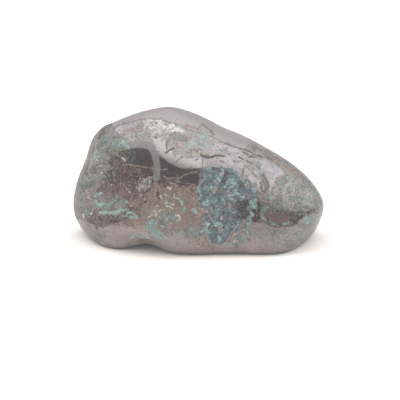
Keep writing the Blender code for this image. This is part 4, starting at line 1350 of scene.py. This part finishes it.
# %% Painted highlights, crackle and pits
cream = bench.mask("cream", grain=0.5, tear=3.6, soft=0.25, seed=30.0, grow=0.15)
cream_colour = bench.blend(bench.mottle(size=0.6, level=0.5, seed=31.0, soft=0.06), tone(194, 186, 184),
                           tone(211, 204, 200))
stack = bench.lay(stack, bench.times(cream, 0.9), cream_colour, roughness=0.3, metal=0.7)
# painted highlight: a paler stroke along the edge over the middle mirror
painted_highlight_edge = bench.mask("painted_highlight_edge", grain=0.5, tear=2.0, soft=0.4, seed=52.0)
stack = bench.lay(stack, bench.times(painted_highlight_edge, 0.7), tone(189, 182, 183), roughness=0.22, metal=0.75)

crackle_zone = bench.times(bench.mask("curl", grain=1.0, tear=2.0, soft=0.4, seed=34.0),
                           bench.mottle(size=0.7, level=0.5, seed=46.0, soft=0.08))
crackle = bench.times(bench.curls(size=0.9, width=0.025, seed=33.0), crackle_zone)
stack = bench.lay(stack, bench.times(crackle, 0.7), tone(114, 107, 102), roughness=0.5, metal=0.3)
pits = bench.scatter("curl", size=0.4, level=0.62, seed=32.0, pull=0.06)
stack = bench.lay(stack, bench.times(pits, 0.75), tone(112, 101, 95), roughness=0.5, metal=0.3)
print("nodes after the highlight:", len(bench.tree.nodes))

# %% [markdown]
# ## The dull skin
#
# Over the ledge the stone kept its dull skin, which never took the polish. It
# is an even, fine-grained grey, so it needs a higher roughness and less metal.

# %% The dull top band
dull_grain = bench.blend(bench.mottle(size=0.24, level=0.5, seed=3.0, soft=0.2, detail=2.0),
                         tone(158, 152, 154), tone(178, 171, 173))
stack = bench.lay(stack, bench.mask("dull", grain=0.5, tear=0.25, soft=0.05), dull_grain, roughness=0.5,
                  metal=0.45)
print("nodes after the dull skin:", len(bench.tree.nodes))

# %% [markdown]
# ## The matte ends
#
# The ends rubbed on the other stones in the tumbler and went matte. The left
# one is grey-green and the right one more lilac. We could make two materials,
# but one field, called lilac, that runs from left to right can mix the two.

# %% The matte ends: grey-green on the left, lilac on the right
matte = bench.blend(bench.mottle(size=1.1, level=0.5, seed=41.0, soft=0.05), tone(104, 104, 100),
                    tone(136, 133, 131))
matte = bench.blend(bench.times(bench.mottle(size=2.6, level=0.52, seed=4.0, soft=0.06), 0.6), matte,
                    tone(152, 146, 144))
matte = bench.speckle(matte, tone(94, 90, 86), tone(166, 163, 161), seed=55.0, cover=0.4, level=0.57,
                      size=0.36)
lilac = bench.blend(bench.mottle(size=1.2, level=0.5, seed=15.0, soft=0.03), tone(153, 146, 146),
                    tone(116, 115, 112))
lilac = bench.speckle(lilac, tone(112, 108, 104), tone(190, 183, 183), seed=60.0, cover=0.45,
                      level=0.57, size=0.36)
matte = bench.blend(bench.step(bench.field("lilac"), low=-0.8, high=0.8), matte, lilac)
stack = bench.lay(stack, bench.mask("ends", grain=2.4, tear=4.0, soft=0.2, seed=1.0, detail=6.0), matte,
                  roughness=0.45, metal=0.3)
print("nodes after the ends:", len(bench.tree.nodes))

# %% [markdown]
# ## The pale foot
#
# The foot near the table is a soft pinkish grey with small blotches: partly the
# ore's own tone, and partly a painted reflection of the white table that the low
# polish mirrors. It is mixed in the same way as the ends, with a fine speckle
# over it.

# %% The pale foot
# The foot's paleness is partly a painted reflection of the white table.
foot_left = bench.blend(bench.mottle(size=2.2, level=0.5, seed=16.0, soft=0.1), tone(156, 145, 142),
                        tone(164, 155, 153))
foot_right = bench.blend(bench.mottle(size=2.2, level=0.5, seed=18.0, soft=0.1), tone(148, 140, 137),
                         tone(158, 150, 148))
foot_tone_and_table_reflection = bench.blend(bench.step(bench.field("lilac"), low=-3.5, high=2.5), foot_left, foot_right)
foot_tone_and_table_reflection = bench.speckle(foot_tone_and_table_reflection, tone(136, 125, 120), tone(180, 172, 172), seed=65.0, cover=0.5,
                           level=0.57, size=0.36)
blotched = bench.times(bench.mask("bloom", grain=1.0, tear=2.0, soft=0.5, seed=47.0),
                       bench.mottle(size=1.1, level=0.5, seed=48.0, soft=0.04))
foot_tone_and_table_reflection = bench.blend(bench.times(blotched, 0.75), foot_tone_and_table_reflection, tone(128, 126, 121))
stack = bench.lay(stack, bench.mask("foot", grain=0.8, tear=0.9, soft=0.12, seed=2.0, detail=5.0),
                  foot_tone_and_table_reflection, roughness=0.38, metal=0.4)
print("nodes after the foot:", len(bench.tree.nodes))

# %% [markdown]
# ## Brown tarnish
#
# Tarnish is a thin film that turns the metal brown. It is darkest high up and
# paler towards the foot, and low in the middle it turns a warm tan. Each
# tone gets dark and light grains, because a film on porous ore is never even.

# %% Brown tarnish and the tan area
brown = bench.blend(bench.mottle(size=2.0, level=0.5, seed=7.0, soft=0.12), tone(84, 76, 77),
                    tone(106, 95, 92))
low_brown = bench.blend(bench.mottle(size=2.0, level=0.5, seed=7.0, soft=0.12), tone(112, 101, 100),
                        tone(144, 130, 125))
brown = bench.blend(bench.step(bench.field("foot"), low=-9.5, high=-5.0), brown, low_brown)
brown = bench.speckle(brown, tone(78, 70, 73), tone(144, 129, 122), seed=70.0, cover=0.5, level=0.56,
                      size=0.36)
brown = bench.blend(bench.times(bench.mottle(size=0.4, level=0.68, seed=17.0, soft=0.02, detail=1.0),
                                0.7), brown, tone(176, 166, 162))
tarnish_mask = bench.mask("tarnish", grain=1.2, tear=4.0, soft=0.12, seed=3.0, detail=6.0)
stack = bench.lay(stack, tarnish_mask, brown, roughness=0.38, metal=0.35)

tan = bench.blend(bench.mottle(size=2.6, level=0.5, seed=8.0, soft=0.12), tone(141, 127, 119),
                  tone(153, 139, 131))
tan = bench.speckle(tan, tone(122, 108, 102), tone(172, 158, 150), seed=75.0, cover=0.55, level=0.56,
                    size=0.36)
tan_mask = bench.times(bench.mask("tan", grain=0.6, tear=4.0, soft=0.5, seed=4.0, detail=5.0),
                       tarnish_mask)
stack = bench.lay(stack, tan_mask, tan, roughness=0.36, metal=0.35)
print("nodes after the tarnish:", len(bench.tree.nodes))

# %% [markdown]
# ## Painted dark bands and mirror patches
#
# The bands near the ends are painted: the right one is a dark reflection of
# the dim room, and the left one is the shade of a shallow recess. The mirror
# patches are bare, smooth ore, and their dark colour is a painted reflection of
# the dim front of the room. A real mirror would need full metal, but a dark
# colour with little metal looks the same here and doesn't sparkle. The rim,
# partly a painted reflection of light, and the worn grey oval go on top.

# %% Bands, window, mirrors, rim and the worn oval
# The two dark bands are painted: shade on the left, a dark reflection of the dim room on the right.
shade_and_reflection_band_colour = bench.blend(bench.mottle(size=0.8, level=0.5, seed=49.0, soft=0.06), tone(95, 86, 85),
                          tone(126, 116, 112))
shade_and_reflection_band_colour = bench.speckle(shade_and_reflection_band_colour, tone(76, 68, 71), tone(140, 134, 130), seed=80.0, cover=0.6,
                            level=0.56, size=0.36)
stack = bench.lay(stack, bench.mask("band", grain=0.4, tear=0.25, soft=0.08, seed=5.0), shade_and_reflection_band_colour,
                  roughness=0.4, metal=0.3)
stack = bench.lay(stack, bench.mask("window", grain=0.4, tear=0.4, soft=0.06, seed=6.0),
                  tone(121, 108, 106), roughness=0.34, metal=0.35)

# The mirror patches' dark colour is a painted reflection of the dim front of the room.
mirror_mask = bench.step(bench.sum(bench.field("mirror"), bench.noise(size=0.4, detail=3.0, seed=9.0),
                                   scale=0.4, less=0.5), low=-0.06, high=0.06)
mirror_colour = bench.speckle(tone(86, 79, 83), tone(75, 69, 74), tone(116, 101, 96), seed=85.0,
                              cover=0.5, level=0.6, size=0.36)
stack = bench.lay(stack, mirror_mask, mirror_colour, roughness=0.3, metal=0.15)
# The rim is partly matte grey ore and partly a painted reflection of light along the rib.
rim_mask = bench.step(bench.sum(bench.field("rim"), bench.noise(size=0.3, detail=3.0, seed=10.0),
                                scale=0.35, less=0.5), low=-0.06, high=0.1)
rim_colour = bench.speckle(tone(139, 137, 136), tone(121, 119, 118), tone(151, 148, 147), seed=87.0,
                           cover=0.5, level=0.56, size=0.36)
stack = bench.lay(stack, rim_mask, rim_colour, roughness=0.38, metal=0.4)
patch = bench.speckle(tone(136, 132, 130), tone(112, 112, 110), tone(182, 178, 176), seed=90.0,
                      cover=0.9, level=0.52)
stack = bench.lay(stack,
                  bench.times(bench.mask("patch", grain=0.5, tear=2.0, soft=0.15, seed=11.0), 0.8),
                  patch, roughness=0.5, metal=0.2)
print("nodes after the mirrors:", len(bench.tree.nodes))

# %% [markdown]
# ## Curls and bloom
#
# At the ends the ore is full of hair-thin curls, where layers of mineral were
# cut across by the polish. They are the lines along which a noise passes a
# level, so three levels give a pale, a dark and a green set that run side by
# side. Bloom is a dusting of green that crowds in its ovals.

# %% Pale, dark and green curls, and the bloom
curl_zone = bench.times(bench.mask("curl", grain=0.9, tear=2.4, soft=0.3, seed=23.0),
                        bench.mottle(size=1.4, level=0.45, seed=51.0, soft=0.05))
CURLS = [(0.5, (190, 182, 180)), (0.54, (98, 102, 100)), (0.46, (116, 140, 136))]  # level and tone
for level, curl_tone in CURLS:
    lines = bench.times(curl_zone, bench.curls(size=0.8, width=0.03, seed=24.0, level=level))
    stack = bench.lay(stack, bench.times(lines, 0.7), tone(*curl_tone), roughness=0.5, metal=0.15)
bloom_mask = bench.scatter("bloom", size=0.45, level=0.61, seed=25.0, pull=0.07)
stack = bench.lay(stack, bench.times(bloom_mask, 0.8), tone(116, 146, 143), roughness=0.55, metal=0.05)
print("nodes after the curls:", len(bench.tree.nodes))

# %% [markdown]
# ## The blue-green crust
#
# The crust is copper silicate, a dull blue-green mineral like dried paint. Its
# ground is two close tones with some brown ore between them. It has hardly any
# metal in it, and that alone sets it apart from the polish around it.

# %% The ground of the crust
crust_colour = bench.blend(bench.mottle(size=1.2, level=0.5, seed=11.0, soft=0.06), tone(96, 109, 114),
                           tone(120, 133, 136))
ore_between = bench.times(bench.mottle(size=0.8, level=0.57, seed=35.0, soft=0.02, detail=3.0), 0.8)
crust_colour = bench.blend(ore_between, crust_colour, tone(102, 92, 92))
crust_mask = bench.mask("crust", grain=0.6, tear=2.0, soft=0.05, seed=8.0)
stack = bench.lay(stack, crust_mask, crust_colour, roughness=0.45, metal=0.15)
print("nodes after the crust:", len(bench.tree.nodes))

# %% [markdown]
# ## Finishes of the marks
#
# Every kind of mark is a dark and a light tone, mixed by noise, behind a mask
# with a torn edge. Since they differ in numbers only, a table and one loop do
# the work. The kinds are laid from the lowest to the highest, with grains of
# the crust between and over them, so that the crust looks knitted together.

# %% Marks and grains, from the lowest to the highest
# field, grain, tear, growth, cover, seed, darker and lighter tone, roughness, share of metal
LOW_MARKS = [
    ("brown", 0.5, 1.8, 0.05, 0.65, 100.0, (124, 108, 99), (160, 145, 137), 0.5, 0.3),
    ("grey", 0.5, 1.8, 0.05, 0.66, 94.0, (111, 109, 106), (146, 142, 140), 0.5, 0.2),
    ("slate", 0.4, 1.8, 0.05, 0.75, 110.0, (92, 105, 110), (116, 129, 133), 0.5, 0.1),
    ("teal", 0.35, 1.6, 0.05, 0.78, 106.0, (112, 138, 136), (140, 164, 160), 0.55, 0.05),
]
HIGH_MARKS = [
    ("plum", 0.4, 1.6, 0.05, 0.85, 113.0, (67, 59, 64), (94, 82, 83), 0.42, 0.15),
    ("pink", 0.35, 0.9, 0.05, 0.65, 93.0, (142, 132, 130), (184, 173, 171), 0.5, 0.1),
    ("mint", 0.3, 1.2, 0.07, 0.82, 110.0, (131, 161, 154), (167, 190, 183), 0.55, 0.05),
    ("white", 0.3, 0.7, 0.05, 0.76, 111.0, (184, 178, 174), (220, 214, 210), 0.5, 0.0),
    ("fold", 0.3, 0.45, 0.05, 0.72, 100.0, (92, 93, 89), (118, 118, 114), 0.5, 0.2),
    ("vein", 0.3, 0.5, 0.03, 0.7, 98.0, (142, 128, 120), (172, 158, 150), 0.4, 0.2),
    ("hair", 0.3, 0.5, 0.03, 0.62, 90.0, (92, 84, 80), (118, 108, 102), 0.5, 0.2),
    ("crack", 0.3, 0.5, 0.0, 0.8, 115.0, (78, 70, 66), (108, 98, 92), 0.6, 0.1),
]
# size, level, cover, seed, tone
LOW_GRAINS = [(0.45, 0.57, 0.6, 197.0, (86, 82, 87)), (0.36, 0.63, 0.6, 203.0, (150, 174, 168))]
HIGH_GRAINS = [(0.4, 0.585, 0.6, 208.5, (97, 110, 115)), (0.36, 0.71, 0.7, 221.0, (184, 190, 184))]
EDGE_SEED = 20.0  # added to a mark's seed for its torn edge


def lay_marks(stack, finishes):
    """Lay each kind of mark over the stack, mixing its darker and its lighter tone."""
    for name, grain, tear, grow, cover, seed, dark, light, rough, metal in finishes:
        colour = bench.blend(bench.mottle(size=0.36, level=0.5, seed=seed, soft=0.08, detail=1.0),
                             tone(*dark), tone(*light))
        mask = bench.mask(name, grain, tear=tear, soft=0.04, seed=seed + EDGE_SEED, grow=grow)
        stack = bench.lay(stack, bench.times(mask, cover), colour, roughness=rough, metal=metal)
    return stack


def lay_grains(stack, grains):
    """Strew grains over the crust."""
    for size, level, cover, seed, colour in grains:
        dots = bench.times(bench.mottle(size=size, level=level, seed=seed, soft=0.02, detail=1.0),
                           crust_mask)
        stack = bench.lay(stack, bench.times(dots, cover), tone(*colour), roughness=0.5, metal=0.1)
    return stack


stack = lay_marks(stack, LOW_MARKS)
stack = lay_grains(stack, LOW_GRAINS)
stack = lay_marks(stack, HIGH_MARKS)
stack = lay_grains(stack, HIGH_GRAINS)
print("nodes after the marks:", len(bench.tree.nodes))

# %% [markdown]
# ## Into the shader
#
# The stack's three results go into the shader. A bump adds only what is finer
# than the net: the grain of the polish, and a rougher one on the crust. What
# can be seen as a shape is in the mesh already.

# %% Plug the layers into the shader
BUMP_DEPTH = 0.03  # mm
colour, roughness, metal = stack
for socket, value in (("Base Color", colour), ("Roughness", roughness), ("Metallic", metal)):
    bench.tree.links.new(value, bench.shader.inputs[socket])

height = bench.sum(bench.noise(size=0.5, detail=4.0, seed=13.0),
                   bench.noise(size=0.15, detail=2.0, seed=14.0), scale=0.3, less=0.5)
height = bench.sum(height, bench.times(crust_mask, bench.noise(size=0.45, detail=4.0, seed=40.0)),
                   scale=3.0)
bump = bench.add("ShaderNodeBump", {"Height": height, "Strength": 0.5, "Distance": BUMP_DEPTH * MM})
bench.tree.links.new(bump.outputs[0], bench.shader.inputs["Normal"])
stone.data.materials.append(bench.material)
print("material nodes:", len(bench.tree.nodes))

# %% [markdown]
# ## The floor
#
# The stone stands on a sheet of white paper. A plane is enough. It is a warm
# white and sheds a little light of its own, so that it stays white right up to
# the stone and the thin shadow under the lower edge is soft and warm.

# %% Floor
FLOOR_HALF = 1.5  # metres
FLOOR_TOP = -0.00002  # metres, a hair below the base, so that the two faces don't flicker
floor_corners = [(-FLOOR_HALF, -FLOOR_HALF, FLOOR_TOP), (FLOOR_HALF, -FLOOR_HALF, FLOOR_TOP),
                 (FLOOR_HALF, FLOOR_HALF, FLOOR_TOP), (-FLOOR_HALF, FLOOR_HALF, FLOOR_TOP)]
PAPER = {
    "Base Color": (0.94, 0.905, 0.875, 1.0),
    "Roughness": 0.9,
    "Specular IOR Level": 0.0,
    "Emission Color": (1.0, 1.0, 1.0, 1.0),
    "Emission Strength": 0.05,
}
floor_mesh = bpy.data.meshes.new("floor")
floor_mesh.from_pydata(floor_corners, [], [(0, 1, 2, 3)])
floor = bpy.data.objects.new("floor", floor_mesh)
bpy.context.collection.objects.link(floor)
paper = bpy.data.materials.new("white_paper")
paper.use_nodes = True
for socket, value in PAPER.items():
    paper.node_tree.nodes["Principled BSDF"].inputs[socket].default_value = value
floor_mesh.materials.append(paper)
print("floor, m:", 2.0 * FLOOR_HALF, "wide")

# %% [markdown]
# ## The light tent
#
# A polished stone is a dim mirror, so the room is half of its look. The room
# here is a plain light tent: white above, a darker ring just over the horizon,
# as the open front of a tent gives, and a white table. The upper flats mirror
# the white top and shine, and the front flat mirrors the ring and goes dark.
# Lamps would show as small bright spots in the polish, so the light comes from
# the world itself. The walls at the two sides are lit more strongly than the
# front and back, which keeps the shadows beside the stone's ends light.

# %% The light tent
# the height angle of the direction that is looked in, and how bright the tent is there
TENT = [(-90.0, 1.1), (-4.0, 1.0), (2.0, 0.69), (14.0, 0.52), (31.0, 0.42), (35.0, 1.75), (90.0, 1.85)]
UPPER_TENT = 0.56  # where the upper tent starts: the sine of its height angle
SIDE_LIGHT = 0.8  # how much brighter the upper tent is at the two sides
LOW_SIDE_LIGHT = 1.0  # and the part between the horizon and the upper tent
BACKDROP = (1.2, 1.2, 1.2, 1.0)  # what the camera sees behind the stone


def tent_brightness(tree, height):
    """A colour ramp that gives the TENT's brightness for a height from -1 to 1."""
    share = add_node(tree, "ShaderNodeMapRange", {"Value": height, "From Min": -1.0})
    ramp = add_node(tree, "ShaderNodeValToRGB", {"Fac": share.outputs["Result"]})
    stops = ramp.color_ramp.elements
    while len(stops) > 1:
        stops.remove(stops[-1])
    for number, (angle, light) in enumerate(TENT):
        where = 0.5 + 0.5 * math.sin(math.radians(angle))
        stop = stops[0] if number == 0 else stops.new(where)
        stop.position = where
        stop.color = (light, light, light, 1.0)
    return ramp.outputs["Color"]


def tent_strength(tree, x, y, z):
    """1 + SIDE_LIGHT * (x ** 2 - y ** 2) in the upper tent, and, between it and the horizon,
    1 + LOW_SIDE_LIGHT * (x ** 2 - y ** 2) where that is more than 1."""
    def work_out(how, first, second):
        """One Math node and its result."""
        return add_node(tree, "ShaderNodeMath", {0: first, 1: second}, operation=how).outputs[0]

    sideways = work_out("SUBTRACT", work_out("MULTIPLY", x, x), work_out("MULTIPLY", y, y))
    is_upper = work_out("GREATER_THAN", z, UPPER_TENT)
    is_over_horizon = work_out("GREATER_THAN", z, 0.0)
    upper = work_out("MULTIPLY", work_out("MULTIPLY", sideways, SIDE_LIGHT), is_upper)
    is_lower = work_out("MULTIPLY", is_over_horizon, work_out("SUBTRACT", 1.0, is_upper))
    brighter = work_out("MULTIPLY", work_out("MAXIMUM", sideways, 0.0), LOW_SIDE_LIGHT)
    lower = work_out("MULTIPLY", brighter, is_lower)
    return work_out("ADD", work_out("ADD", upper, lower), 1.0)


def make_tent():
    """A world whose brightness follows the direction that is looked in."""
    world = bpy.data.worlds.new("light_tent")
    world.use_nodes = True
    tree = world.node_tree
    tree.nodes.clear()
    look = add_node(tree, "ShaderNodeTexCoord").outputs["Generated"]
    x, y, z = add_node(tree, "ShaderNodeSeparateXYZ", {0: look}).outputs
    tent = add_node(tree, "ShaderNodeBackground",
                    {"Color": tent_brightness(tree, z), "Strength": tent_strength(tree, x, y, z)})
    backdrop = add_node(tree, "ShaderNodeBackground", {"Color": BACKDROP})
    seen = add_node(tree, "ShaderNodeLightPath").outputs["Is Camera Ray"]
    choose = add_node(tree, "ShaderNodeMixShader", {"Fac": seen, 1: tent.outputs[0], 2: backdrop.outputs[0]})
    add_node(tree, "ShaderNodeOutputWorld", {"Surface": choose.outputs[0]})
    return world


bpy.context.scene.world = make_tent()
bpy.context.scene.view_settings.view_transform = "Standard"
print("tent nodes:", len(bpy.context.scene.world.node_tree.nodes))

# %% [markdown]
# ## The camera
#
# A long lens from half a metre away shows the stone almost without perspective,
# as stones are usually shown. It looks down by the same 20 degrees that the
# polished face leans back, so it sees that face square on.

# %% Camera
CAMERA_HEIGHT_ANGLE = 20.0
FRAME_WIDTH = 80.3  # how much of the scene the frame takes in, in mm, at the stone
LENS = 200.0
SENSOR = 36.0
NEAREST, FARTHEST = 0.01, 10.0  # metres, what the camera can see

camera_data = bpy.data.cameras.new("camera")
camera_data.lens = LENS
camera_data.sensor_width = SENSOR
camera_data.clip_start = NEAREST
camera_data.clip_end = FARTHEST
camera = bpy.data.objects.new("camera", camera_data)
distance = FRAME_WIDTH * LENS / SENSOR
look_from = unit_vector(0.0, CAMERA_HEIGHT_ANGLE)
camera.location = (np.array(PLAN_MIDDLE) - shift + distance * look_from) * MM
camera.rotation_euler = (math.radians(90.0 - CAMERA_HEIGHT_ANGLE), 0.0, 0.0)
bpy.context.collection.objects.link(camera)
bpy.context.scene.camera = camera
print("camera stands", round(distance), "mm away")

# %% [markdown]
